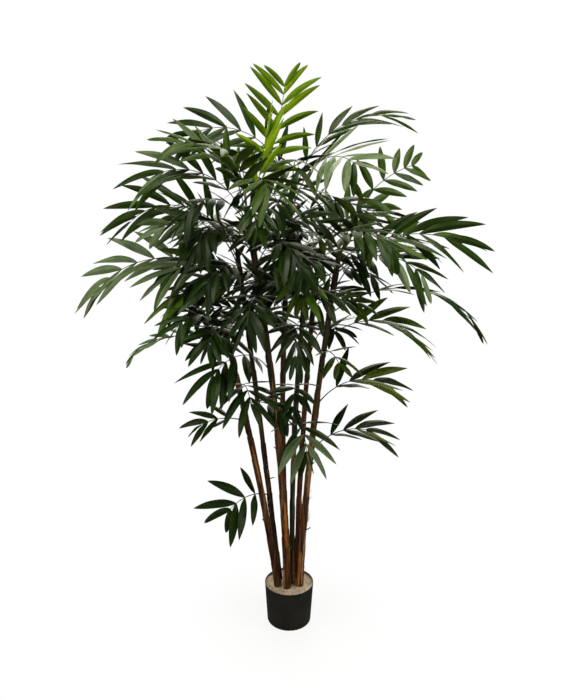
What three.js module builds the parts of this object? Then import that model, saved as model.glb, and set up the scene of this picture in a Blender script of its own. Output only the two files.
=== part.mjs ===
// An artificial bamboo palm in a filled nursery pot. Seven wooden canes fan out of the pot and carry arching
// pinnate fronds, each a slim rib with pairs of lance-shaped leaflets. Millimetres, +Z up. The origin is the
// centre of the pot's underside. Azimuths turn anticlockwise from +X as seen from above: the side that the
// photograph shows faces -Y, which is azimuth 270.
import * as THREE from "three";

const POT = { height: 172, rimRadius: 98, footRadius: 88, wall: 2.5, floor: 4, footRound: 7 };
const FOOT_STEPS = 3;
const FILL = { top: 164, crown: 3, flatShare: 0.8 };
const GAP = 0.3;
const ROUND_SIDES = 32;

const CANE_SIDES = 8;
const CANE_STEP = 150;
const FLARE = { height: 60, widening: 0.18 };

// Each cane: its foot on the fill, its tip, how far its middle is bent aside, and its radius at foot and tip.
const CANES = {
  left_outer: { foot: [-45, -20], tip: [-238, -60, 1250], bend: [12, 0], radius: [13, 9] },
  left_inner: { foot: [-38, 28], tip: [-195, 70, 1510], bend: [4, -10], radius: [10.5, 7.5] },
  middle_front: { foot: [-8, -34], tip: [-156, -10, 1668], bend: [27, 0], radius: [14, 9] },
  middle_back: { foot: [2, 36], tip: [5, 130, 1660], bend: [-30, -10], radius: [11.5, 8] },
  centre: { foot: [14, 0], tip: [62, -70, 1480], bend: [-20, 10], radius: [10.5, 7.5] },
  right_back: { foot: [32, 36], tip: [112, 140, 1490], bend: [-16, 0], radius: [11, 7.5] },
  right_outer: { foot: [42, -18], tip: [175, -25, 1520], bend: [-19, 0], radius: [13, 8.5] },
};

const TONES = {
  young: { color: 0x6f9a2e, roughness: 0.5 },
  grown: { color: 0x3f5f2c, roughness: 0.5 },
  old: { color: 0x263c26, roughness: 0.45 },
};

// Each frond on its cane: height, azimuth, rise at the stalk, slope at the tip, length, roll about its rib,
// lift of its leaflets over the rib, their mean angle off the rib, tone and, where it isn't 1, the size of
// its leaflets. Angles are degrees.
const FRONDS = {
  left_outer: [
    [885, 192, 20, -30, 165, 30, 0, 34, "old", 0.75],
    [950, 320, 30, -40, 210, 0, 0, 44, "old", 0.75],
    [1010, 284, 42, -42, 230, 0, -10, 44, "old", 0.9],
    [1120, 115, 45, -30, 420, -20, 10, 37, "old"],
    [1155, 182, 34, -45, 370, 0, 4, 40, "old", 0.55],
    [1195, 258, 56, -45, 240, 10, 0, 40, "old", 0.8],
    [1245, 225, 52, -45, 230, 20, 0, 36, "old", 0.75],
  ],
  left_inner: [
    [545, 218, 26, -38, 190, 45, 0, 56, "old", 1.05],
    [1205, 240, 40, -45, 260, 15, 0, 37, "old", 0.85],
    [1365, 178, 40, -56, 620, 42, 5, 36, "grown", 0.92],
    [1410, 205, 38, -42, 300, 30, 0, 32, "old"],
    [1450, 128, 50, -20, 480, -25, 15, 37, "grown", 0.9],
    [1485, 184, 70, -46, 475, 50, 5, 32, "grown"],
    [1505, 250, 60, -58, 380, 0, -12, 37, "old"],
  ],
  middle_front: [
    [1080, 232, 48, -40, 330, 20, -5, 40, "old"],
    [1295, 262, 50, -55, 350, 0, -12, 40, "old"],
    [1345, 196, 36, -42, 330, 40, 0, 30, "old"],
    [1400, 238, 46, -42, 330, 15, -8, 37, "old"],
    [1455, 296, 54, -55, 390, -5, -12, 37, "old"],
    [1530, 220, 50, -55, 250, 10, -5, 37, "grown"],
    [1560, 275, 60, -50, 380, 5, -8, 37, "grown"],
    [1572, 224, 70, -60, 360, 10, -15, 37, "old"],
    [1592, 186, 76, -36, 445, 45, 5, 30, "grown"],
    [1628, 100, 66, -12, 450, 0, 12, 37, "grown"],
    [1652, 190, 85, -4, 355, 40, 0, 34, "grown", 0.78],
    [1655, 5, 64, 84, 428, -85, 8, 48, "young", 0.82],
  ],
  middle_back: [
    [1250, 100, 40, -30, 420, 0, 10, 37, "old"],
    [1400, 150, 48, -30, 440, 20, 10, 37, "old"],
    [1550, 110, 55, -25, 500, 10, 15, 37, "grown"],
    [1630, 300, 66, -24, 470, -30, 0, 56, "grown", 0.92],
    [1650, 181, 90, -28, 525, 55, 5, 36, "grown", 0.9],
    [1655, 4, 84, -8, 530, -15, 5, 26, "grown", 0.88],
  ],
  centre: [
    [850, 280, 45, -62, 240, 0, -10, 46, "grown", 1.1],
    [1010, 265, 35, -45, 220, 0, 0, 40, "old", 0.9],
    [1200, 265, 48, -50, 360, 0, -10, 37, "old"],
    [1400, 262, 35, -50, 170, 0, 0, 37, "grown"],
    [1470, 318, 60, -45, 400, -10, -8, 37, "grown"],
  ],
  right_back: [
    [1080, 70, 40, -40, 400, 0, 10, 37, "old"],
    [1330, 100, 50, -30, 470, 10, 15, 37, "grown"],
    [1420, 62, 55, -25, 500, -10, 15, 37, "grown"],
    [1485, 30, 64, -30, 380, -30, 8, 37, "grown"],
  ],
  right_outer: [
    [765, 358, 48, -22, 250, -22, 6, 30, "old"],
    [950, 0, 52, -24, 260, -20, 6, 30, "old", 1.1],
    [1150, 290, 15, -35, 130, 0, 0, 50, "grown", 0.8],
    [1200, 0, 38, -42, 325, -16, 5, 28, "grown", 1.05],
    [1290, 352, 38, -48, 545, 5, -5, 26, "old", 0.8],
    [1330, 255, 46, -52, 280, 0, -12, 40, "old"],
    [1380, 40, 50, -20, 480, -30, 10, 37, "grown"],
    [1440, 338, 40, -48, 330, -20, -8, 44, "grown", 0.9],
    [1480, 352, 36, -24, 440, -55, 0, 23, "grown"],
    [1515, 10, 78, 15, 400, -50, 5, 58, "grown", 0.66],
  ],
};

// The rib: the bare share of its length, its half-widths, how much deeper than wide it is, the length of its
// foot, and how its slope turns from rise to fall along it.
const STALK_SHARE = 0.31;
const RIB = { foot: 4.2, stalk: 3.4, tip: 1.8, keel: 1.3, footLength: 45, arch: 1.2, step: 20 };
// A frond as long as FULL_FROM has leaflets of the full length, spaced at the full spacing. The powers say
// how these and the leaflets' width follow a frond's length, and how leaflets crowd towards its tip.
const LEAFLET = {
  length: 205, width: 36, thickness: 2.4, spacing: 47, leastSpacing: 43, baseWidth: 8, widestAt: 0.47,
};
const FULL_FROM = 450;
const POWERS = { length: 0.3, spacing: 0.8, crowding: 1.25 };
const WIDTH_FOLLOWS = 0.6;
// The share of the full length that leaflets have along the rib: first, gained, lost towards the tip, and how
// late.
const SIZES = { first: 0.82, gained: 0.55, lost: 0.8, late: 2.5 };
const NARROWING = 13;
const RAISED = { first: 20, last: -6 };
const BENT = { down: 0.33, forward: 0.08 };
const JITTER = { angle: 6, lift: 8, twist: 16, size: 0.08, droop: 0.12 };
// What is tried, in turn, with a leaflet that would touch something: turns of angle and lift, and a smaller
// size.
const RETRIES = [
  [0, 0, 1], [0, 12, 1], [0, -12, 1], [8, 22, 0.95],
  [-8, -22, 0.95], [-14, 0, 0.9], [12, 30, 0.85], [12, -30, 0.8],
];
const TURNS = [0, 4, -4, 8, -8, 12, -12, 17, -17, 23, -23, 30, -30];
const DROPS = [0, 18, 36, 54];
const SEAT = { deepest: -2, step: 0.05, samples: 12 };
const LEAF_CLEARANCE = 2;
const RIB_CLEARANCE = 3;

const radians = THREE.MathUtils.degToRad;
const lerp = THREE.MathUtils.lerp;
const vector = (x, y, z) => new THREE.Vector3(x, y, z);
const along = (point, direction, distance) => point.clone().addScaledVector(direction, distance);
const UP = vector(0, 0, 1);

// A seeded series of numbers from -1 to 1.
function seeded(seed) {
  let state = (Math.imul(seed, 2654435761) + 12345) >>> 0;
  return () => {
    state = (Math.imul(state, 1664525) + 1013904223) >>> 0;
    return state / 2147483648 - 1;
  };
}

function meshOf(name, points, faces, material) {
  const geometry = new THREE.BufferGeometry();
  geometry.setAttribute("position", new THREE.Float32BufferAttribute(points.flatMap((p) => p.toArray()), 3));
  geometry.setIndex(faces.flat());
  geometry.computeVertexNormals();
  return named(name, geometry, material);
}

function named(name, geometry, material) {
  const mesh = new THREE.Mesh(geometry, new THREE.MeshStandardMaterial(material));
  mesh.name = name;
  return mesh;
}

function lathe(name, profile, material) {
  const points = profile.map(([radius, height]) => new THREE.Vector2(radius, height));
  const geometry = new THREE.LatheGeometry(points, ROUND_SIDES);
  geometry.rotateX(Math.PI / 2);
  return named(name, geometry, material);
}

const wallAt = (height) => lerp(POT.footRadius, POT.rimRadius, height / POT.height);

function pot() {
  const profile = [[0, 0]];
  for (let i = 0; i <= FOOT_STEPS; i++) {
    const turn = (Math.PI / 2) * (i / FOOT_STEPS);
    const height = POT.footRound * (1 - Math.cos(turn));
    profile.push([wallAt(height) - POT.footRound * (1 - Math.sin(turn)), height]);
  }
  profile.push(
    [POT.rimRadius, POT.height],
    [POT.rimRadius - POT.wall, POT.height],
    [wallAt(POT.floor) - POT.footRound, POT.floor],
    [0, POT.floor],
  );
  return lathe("pot", profile, { color: 0x24221c, roughness: 0.55 });
}

// The filling's wall runs beside the pot's, and its top falls a little from a flat middle towards the rim.
function fill() {
  const inside = (height) => {
    const share = (height - POT.floor) / (POT.height - POT.floor);
    return lerp(wallAt(POT.floor) - POT.footRound, POT.rimRadius - POT.wall, share) - GAP;
  };
  const foot = POT.floor + GAP;
  const shoulder = FILL.top - FILL.crown;
  const profile = [
    [0, foot],
    [inside(foot), foot],
    [inside(shoulder), shoulder],
    [inside(FILL.top) * FILL.flatShare, FILL.top],
    [0, FILL.top],
  ];
  return lathe("fill", profile, { color: 0x9a8f7c, roughness: 0.95 });
}

// A point of a cane's centre line, and its radius there, at a height.
function caneAt(cane, height) {
  const foot = FILL.top + GAP;
  const q = (height - foot) / (cane.tip[2] - foot);
  const bow = 4 * q * (1 - q);
  const x = lerp(cane.foot[0], cane.tip[0], q) + bow * cane.bend[0];
  const y = lerp(cane.foot[1], cane.tip[1], q) + bow * cane.bend[1];
  const flare = 1 + FLARE.widening * Math.max(0, 1 - (height - foot) / FLARE.height);
  return { point: vector(x, y, height), radius: lerp(cane.radius[0], cane.radius[1], q) * flare };
}

// The stations of a cane: level rings of points, from the flat cut on the fill to the tip.
function caneRings(cane) {
  const foot = FILL.top + GAP;
  const steps = Math.round((cane.tip[2] - foot) / CANE_STEP);
  const heights = [foot, foot + FLARE.height];
  for (let i = 1; i <= steps; i++) heights.push(lerp(foot, cane.tip[2], i / steps));
  return heights.map((height) => {
    const { point, radius } = caneAt(cane, height);
    const ring = [];
    for (let k = 0; k < CANE_SIDES; k++) {
      const angle = (2 * Math.PI * k) / CANE_SIDES;
      ring.push(vector(point.x + radius * Math.cos(angle), point.y + radius * Math.sin(angle), height));
    }
    return ring;
  });
}

function caneMesh(name, rings) {
  const faces = [];
  const last = (rings.length - 1) * CANE_SIDES;
  for (let i = 0; i + 1 < rings.length; i++) {
    for (let k = 0; k < CANE_SIDES; k++) {
      const [a, b] = [i * CANE_SIDES + k, i * CANE_SIDES + ((k + 1) % CANE_SIDES)];
      faces.push([a, b, b + CANE_SIDES], [a, b + CANE_SIDES, a + CANE_SIDES]);
    }
  }
  for (let k = 1; k + 1 < CANE_SIDES; k++) faces.push([0, k + 1, k], [last, last + k, last + k + 1]);
  return meshOf(name, rings.flat(), faces, { color: 0x4a2c1c, roughness: 0.8 });
}

// A convex piece of the plant, kept for the tests that nothing touches: its corners, and the directions of
// its faces and edges, along which a gap to another piece is looked for.
function cell(owner, points, normals, edges) {
  const centre = points.reduce((sum, p) => sum.add(p), vector(0, 0, 0)).divideScalar(points.length);
  const radius = Math.max(...points.map((p) => p.distanceTo(centre)));
  return { owner, points, normals, edges, centre, radius };
}

function span(points, axis) {
  let [low, high] = [Infinity, -Infinity];
  for (const p of points) {
    const d = p.dot(axis);
    if (d < low) low = d;
    if (d > high) high = d;
  }
  return [low, high];
}

function apart(a, b, clearance) {
  if (a.centre.distanceTo(b.centre) > a.radius + b.radius + clearance) return true;
  const axes = [...a.normals, ...b.normals];
  for (const e of a.edges) for (const f of b.edges) axes.push(e.clone().cross(f));
  return axes.some((axis) => {
    const size = axis.length();
    if (size < 1e-3) return false;
    const [lowA, highA] = span(a.points, axis);
    const [lowB, highB] = span(b.points, axis);
    return Math.max(lowB - highA, lowA - highB) > clearance * size;
  });
}

function caneCells(name, rings) {
  const cells = [];
  for (let i = 0; i + 1 < rings.length; i++) {
    const line = rings[i + 1][0].clone().sub(rings[i][0]).normalize();
    const sides = rings[i].slice(0, CANE_SIDES / 2).map((p, k) => {
      const edge = rings[i][k + 1].clone().sub(p).normalize();
      return { edge, normal: edge.clone().cross(line).normalize() };
    });
    const normals = [vector(0, 0, 1), ...sides.map((s) => s.normal)];
    cells.push(cell(name, [...rings[i], ...rings[i + 1]], normals, [line, ...sides.map((s) => s.edge)]));
  }
  return cells;
}

// The rib of a frond: stations along its arch, each with a point, the frond's own directions there (forward,
// side and up) and the rib's half-width. A pair of leaflets takes the short stretch that begins at each
// start.
function ribOf(frond) {
  const azimuth = radians(frond.azimuth);
  const heading = vector(Math.cos(azimuth), Math.sin(azimuth), 0);
  const level = vector(Math.sin(azimuth), -Math.cos(azimuth), 0);
  const stalk = frond.length * STALK_SHARE;
  const fullness = frond.length / FULL_FROM;
  const spacing = Math.max(LEAFLET.leastSpacing, LEAFLET.spacing * Math.pow(fullness, POWERS.spacing));
  const pairs = Math.max(3, Math.round((frond.length - stalk) / spacing) + 1);
  const distances = [0, RIB.footLength, (RIB.footLength + stalk) / 2];
  const starts = [];
  for (let i = 0; i < pairs; i++) {
    const crowding = 1 - Math.pow(1 - i / (pairs - 1), POWERS.crowding);
    const at = lerp(stalk, frond.length - LEAFLET.baseWidth, crowding);
    starts.push(distances.length);
    distances.push(at, at + LEAFLET.baseWidth);
  }
  const slopeAt = (distance) => {
    const turned = Math.pow(distance / frond.length, RIB.arch);
    return radians(lerp(frond.rise, frond.fall, turned));
  };
  const { point: foot, radius } = caneAt(frond.cane, frond.height);
  const point = along(foot, heading, radius + GAP + frond.seat);
  const stations = [];
  let travelled = 0;
  for (const distance of distances) {
    const steps = Math.max(1, Math.ceil((distance - travelled) / RIB.step));
    const step = (distance - travelled) / steps;
    for (let k = 0; k < steps; k++) {
      const slope = slopeAt(travelled + step / 2);
      point.addScaledVector(heading, Math.cos(slope) * step);
      point.z += Math.sin(slope) * step;
      travelled += step;
    }
    const slope = slopeAt(distance);
    const forward = heading.clone().multiplyScalar(Math.cos(slope)).setZ(Math.sin(slope));
    const raised = level.clone().cross(forward);
    const roll = radians(frond.roll) * Math.min(1, distance / stalk);
    const side = level.clone().multiplyScalar(Math.cos(roll)).addScaledVector(raised, Math.sin(roll));
    const up = raised.clone().multiplyScalar(Math.cos(roll)).addScaledVector(level, -Math.sin(roll));
    const halfWidth =
      distance < RIB.footLength
        ? lerp(RIB.foot, RIB.stalk, distance / RIB.footLength)
        : lerp(RIB.stalk, RIB.tip, (distance - RIB.footLength) / (frond.length - RIB.footLength));
    stations.push({ point: point.clone(), forward, side, up, halfWidth });
  }
  for (const s of stations) {
    s.left = along(s.point, s.side, -s.halfWidth);
    s.right = along(s.point, s.side, s.halfWidth);
    s.keel = along(s.point, s.up, -RIB.keel * s.halfWidth);
  }
  return { stations, starts };
}

function ribCells(owner, { stations }) {
  return stations.slice(1).map((b, i) => {
    const a = stations[i];
    const normals = [a.up, a.side, a.up.clone().add(a.side), a.up.clone().sub(a.side)];
    const edges = [b.point.clone().sub(a.point).normalize(), a.side, a.up];
    return cell(owner, [a.left, a.right, a.keel, b.left, b.right, b.keel], normals, edges);
  });
}

// How far a point lies outside its cane's outline at the point's own height.
function outside(point, rings) {
  const above = rings.findIndex((ring) => ring[0].z > point.z);
  const upper = above < 0 ? rings.length - 1 : above;
  const [low, high] = [rings[upper - 1], rings[upper]];
  const share = Math.min(1, (point.z - low[0].z) / (high[0].z - low[0].z));
  const outline = low.map((corner, k) => corner.clone().lerp(high[k], share));
  return Math.max(...outline.map((corner, k) => {
    const edge = outline[(k + 1) % outline.length].clone().sub(corner).normalize();
    return (point.x - corner.x) * edge.y - (point.y - corner.y) * edge.x;
  }));
}

// The smallest gap between a rib's foot and its cane, at points all over its flat side and on its edges.
function footClearance({ stations: [foot, next] }, rings) {
  const lines = [[foot.left, foot.keel], [foot.right, foot.keel]];
  lines.push([foot.keel, next.keel], [foot.left, next.right]);
  const shares = Array.from({ length: SEAT.samples + 1 }, (_, i) => i / SEAT.samples);
  for (const share of shares) {
    lines.push([foot.left.clone().lerp(foot.right, share), next.left.clone().lerp(next.right, share)]);
  }
  const points = lines.flatMap(([from, to]) => shares.map((share) => from.clone().lerp(to, share)));
  return Math.min(...points.map((point) => outside(point, rings)));
}

// One leaflet of a pair, on side -1 (left) or +1 (right) of the rib, as its base, its widest section and tip.
function leafletOf(frond, rib, pair, side, draws, retry) {
  const share = pair / (rib.starts.length - 1);
  const [a, b] = [rib.stations[rib.starts[pair]], rib.stations[rib.starts[pair] + 1]];
  const [moreAngle, moreLift, shorter] = retry;
  const angle = radians(frond.spread + NARROWING * (1 - 2 * share) + JITTER.angle * draws[0] + moreAngle);
  const raised = frond.lift + lerp(RAISED.first, RAISED.last, share);
  const lift = radians(raised + JITTER.lift * draws[1] + moreLift);
  const place = SIZES.first + SIZES.gained * share - SIZES.lost * Math.pow(share, SIZES.late);
  const size = place * (1 + JITTER.size * draws[2]) * shorter;
  const full = LEAFLET.length * frond.leafSize;
  const length = full * size * Math.pow(frond.length / FULL_FROM, POWERS.length);
  const out = a.side.clone().multiplyScalar(side * Math.cos(lift)).addScaledVector(a.up, Math.sin(lift));
  const direction = a.forward.clone().multiplyScalar(Math.cos(angle)).addScaledVector(out, Math.sin(angle));
  const root = a.point.clone().lerp(b.point, 0.5);
  const flat = along(a.forward, direction, -a.forward.dot(direction)).normalize();
  const twist = radians(JITTER.twist * draws[3]);
  const normal = direction.clone().cross(flat).multiplyScalar(side);
  const across = flat.multiplyScalar(Math.cos(twist)).addScaledVector(normal, Math.sin(twist));
  normal.crossVectors(direction, across).multiplyScalar(side);
  const sidewaysDown = direction.clone().multiplyScalar(direction.z).sub(UP);
  const bend = a.forward.clone().multiplyScalar(BENT.forward);
  bend.addScaledVector(sidewaysDown, BENT.down + JITTER.droop * draws[4]);
  const at = (t) => along(along(root, direction, length * t), bend, length * t * t);
  const widest = at(LEAFLET.widestAt);
  const half = (LEAFLET.width / 2) * lerp(1, length / LEAFLET.length, WIDTH_FOLLOWS);
  return {
    base: side > 0 ? [a.right, b.right, b.keel, a.keel] : [a.left, b.left, b.keel, a.keel],
    near: along(widest, across, -half),
    far: along(widest, across, half),
    ridge: along(widest, normal, LEAFLET.thickness),
    tip: at(1),
    side,
    pair,
    direction,
    across,
    normal,
  };
}

function leafCell(owner, leaf) {
  const points = [...leaf.base, leaf.near, leaf.far, leaf.ridge, leaf.tip];
  const edge = (from, to) => to.clone().sub(from).normalize();
  const edges = [edge(leaf.near, leaf.tip), edge(leaf.far, leaf.tip), edge(leaf.base[0], leaf.near)];
  edges.push(edge(leaf.base[1], leaf.far), leaf.across);
  const bent = edge(leaf.ridge, leaf.tip).cross(leaf.across).normalize();
  const made = cell(owner, points, [leaf.normal, leaf.across, leaf.direction, bent], edges);
  made.pair = leaf.pair;
  return made;
}

function frondMesh(frond, rib, leaves) {
  const points = rib.stations.flatMap((s) => [s.left, s.right, s.keel]);
  const faces = [];
  const quad = (a, b, c, d) => faces.push([a, b, c], [a, c, d]);
  const taken = new Map(leaves.map((leaf) => [rib.starts[leaf.pair] * 2 + (leaf.side > 0 ? 1 : 0), leaf]));
  for (let i = 0; i + 1 < rib.stations.length; i++) {
    const [left, right, keel] = [3 * i, 3 * i + 1, 3 * i + 2];
    quad(left, right, right + 3, left + 3);
    if (!taken.has(2 * i)) quad(left, left + 3, keel + 3, keel);
    if (!taken.has(2 * i + 1)) quad(right, keel, keel + 3, right + 3);
  }
  const end = points.length - 3;
  faces.push([0, 2, 1], [end, end + 1, end + 2]);
  for (const leaf of leaves) {
    const i = rib.starts[leaf.pair];
    const top = 3 * i + (leaf.side > 0 ? 1 : 0);
    const keel = 3 * i + 2;
    const near = points.length;
    const [far, ridge, tip] = [near + 1, near + 2, near + 3];
    points.push(leaf.near, leaf.far, leaf.ridge, leaf.tip);
    const made = [
      [top, ridge, top + 3], [top, near, ridge], [top + 3, ridge, far],
      [keel, keel + 3, far], [keel, far, near], [top, keel, near], [top + 3, far, keel + 3],
      [near, tip, ridge], [ridge, tip, far], [near, far, tip],
    ];
    faces.push(...(leaf.side > 0 ? made : made.map(([a, b, c]) => [a, c, b])));
  }
  return meshOf(frond.name, points, faces, { ...TONES[frond.tone], side: THREE.DoubleSide });
}

// Every frond's rib is placed first, turned or set a little lower where it would touch a cane or another rib.
// Then leaflets are added, each tried in a few ways and left out where none is clear.
function fronds(caneParts) {
  const placed = caneParts.flatMap((part) => part.cells);
  const alone = (c, clearance, skip) => placed.every((p) => skip(p) || apart(c, p, clearance));
  const clear = (made, clearance, skip) => made.every((c) => alone(c, clearance, skip));
  const grown = [];
  let seed = 0;
  for (const [caneName, rows] of Object.entries(FRONDS)) {
    rows.forEach(([height, azimuth, rise, fall, length, roll, lift, spread, tone, leafSize = 1], k) => {
      const frond = { name: `${caneName}_frond_${k + 1}`, cane: CANES[caneName], height, azimuth, rise };
      Object.assign(frond, { fall, length, roll, lift, spread, tone, leafSize, seed: ++seed, seat: 0 });
      const own = (c) => c.owner === caneName;
      const isFree = (candidate) => {
        const cells = ribCells(frond.name, ribOf(candidate));
        const foot = cells.slice(0, 2);
        return clear(cells.slice(2), RIB_CLEARANCE, () => false) && clear(foot, RIB_CLEARANCE, own);
      };
      const ways = DROPS.flatMap((drop) => TURNS.map((turn) => [frond.height - drop, frond.azimuth + turn]));
      const found = ways.find(([h, a]) => isFree({ ...frond, height: h, azimuth: a }));
      if (!found) throw new Error(`${frond.name} finds no free way out`);
      [frond.height, frond.azimuth] = found;
      const { rings } = caneParts.find((part) => part.name === caneName);
      frond.seat = SEAT.deepest;
      while (footClearance(ribOf(frond), rings) < GAP) frond.seat += SEAT.step;
      const rib = ribOf(frond);
      placed.push(...ribCells(frond.name, rib));
      grown.push({ frond, rib, leaves: [] });
    });
  }
  for (const { frond, rib, leaves } of grown) {
    const random = seeded(frond.seed);
    for (let pair = 0; pair < rib.starts.length; pair++) {
      for (const side of [-1, 1]) {
        const draws = [random(), random(), random(), random(), random()];
        const skip = (c) => c.owner === frond.name && (c.pair === undefined || c.pair === pair);
        const free = RETRIES.map((retry) => leafletOf(frond, rib, pair, side, draws, retry)).find((leaf) =>
          clear([leafCell(frond.name, leaf)], LEAF_CLEARANCE, skip),
        );
        if (!free) continue;
        leaves.push(free);
        placed.push(leafCell(frond.name, free));
      }
    }
  }
  return grown.map(({ frond, rib, leaves }) => frondMesh(frond, rib, leaves));
}

const palm = new THREE.Group();
const caneParts = Object.entries(CANES).map(([name, cane]) => {
  const rings = caneRings(cane);
  return { name, rings, mesh: caneMesh(`${name}_cane`, rings), cells: caneCells(name, rings) };
});
palm.add(pot(), fill(), ...caneParts.map((part) => part.mesh), ...fronds(caneParts));

export default palm;
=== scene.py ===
"""An artificial bamboo palm in a filled nursery pot: seven canes wrapped in fibrous bark, arching fronds of
cut leaflets, a plain dark pot and its cement filling. The growth rule and its tables are in millimetres, and
lengths become metres where a mesh is made. Azimuths turn anticlockwise from +X, and the photographed side
faces -Y."""

import math
from types import SimpleNamespace

import bpy
import numpy as np
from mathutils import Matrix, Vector


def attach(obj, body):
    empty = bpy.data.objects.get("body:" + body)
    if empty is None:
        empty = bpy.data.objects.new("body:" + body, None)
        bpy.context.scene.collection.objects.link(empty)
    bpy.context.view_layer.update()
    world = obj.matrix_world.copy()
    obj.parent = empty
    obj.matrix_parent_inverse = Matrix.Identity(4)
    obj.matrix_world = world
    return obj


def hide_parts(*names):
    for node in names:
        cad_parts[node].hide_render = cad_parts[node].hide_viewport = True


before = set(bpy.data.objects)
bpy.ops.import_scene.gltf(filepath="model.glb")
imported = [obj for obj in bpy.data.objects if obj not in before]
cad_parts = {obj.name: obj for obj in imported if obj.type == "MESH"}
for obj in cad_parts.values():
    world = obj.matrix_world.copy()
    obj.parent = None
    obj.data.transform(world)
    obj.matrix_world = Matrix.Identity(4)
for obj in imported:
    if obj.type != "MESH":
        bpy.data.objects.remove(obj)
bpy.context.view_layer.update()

MM = 0.001
MAP = "OFBake"
UP = np.array([0.0, 0.0, 1.0])

# The camera: its place in metres, how far it looks down in degrees, and its lens in millimetres.
CAMERA = SimpleNamespace(place=(-0.035, -2.45, 1.80), down=15.0, lens=35.28)

# The pot, the filling and the canes, as in the source of the solids.
POT = SimpleNamespace(
    height=172, rim_radius=98, foot_radius=88, wall=2.5, floor=4, foot_round=7, dish=2.2, foot_ring=12,
    rim_round=1.1, floor_round=3, sides=128,
)
FILL = SimpleNamespace(top=164)
GAP = 0.3
CANE_SIDES = 8
CANE_STEP = 150
FLARE = SimpleNamespace(height=60, widening=0.18)

# Each cane: its foot on the fill, its tip, how far its middle is bent aside, and its radius at foot and tip.
CANES = {
    name: SimpleNamespace(name=name, foot=foot, tip=tip, bend=bend, radius=radius)
    for name, foot, tip, bend, radius in (
        ("left_outer", (-45, -20), (-238, -60, 1250), (12, 0), (13, 9)),
        ("left_inner", (-38, 28), (-195, 70, 1510), (4, -10), (10.5, 7.5)),
        ("middle_front", (-8, -34), (-156, -10, 1668), (27, 0), (14, 9)),
        ("middle_back", (2, 36), (5, 130, 1660), (-30, -10), (11.5, 8)),
        ("centre", (14, 0), (62, -70, 1480), (-20, 10), (10.5, 7.5)),
        ("right_back", (32, 36), (112, 140, 1490), (-16, 0), (11, 7.5)),
        ("right_outer", (42, -18), (175, -25, 1520), (-19, 0), (13, 8.5)),
    )
}

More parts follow.
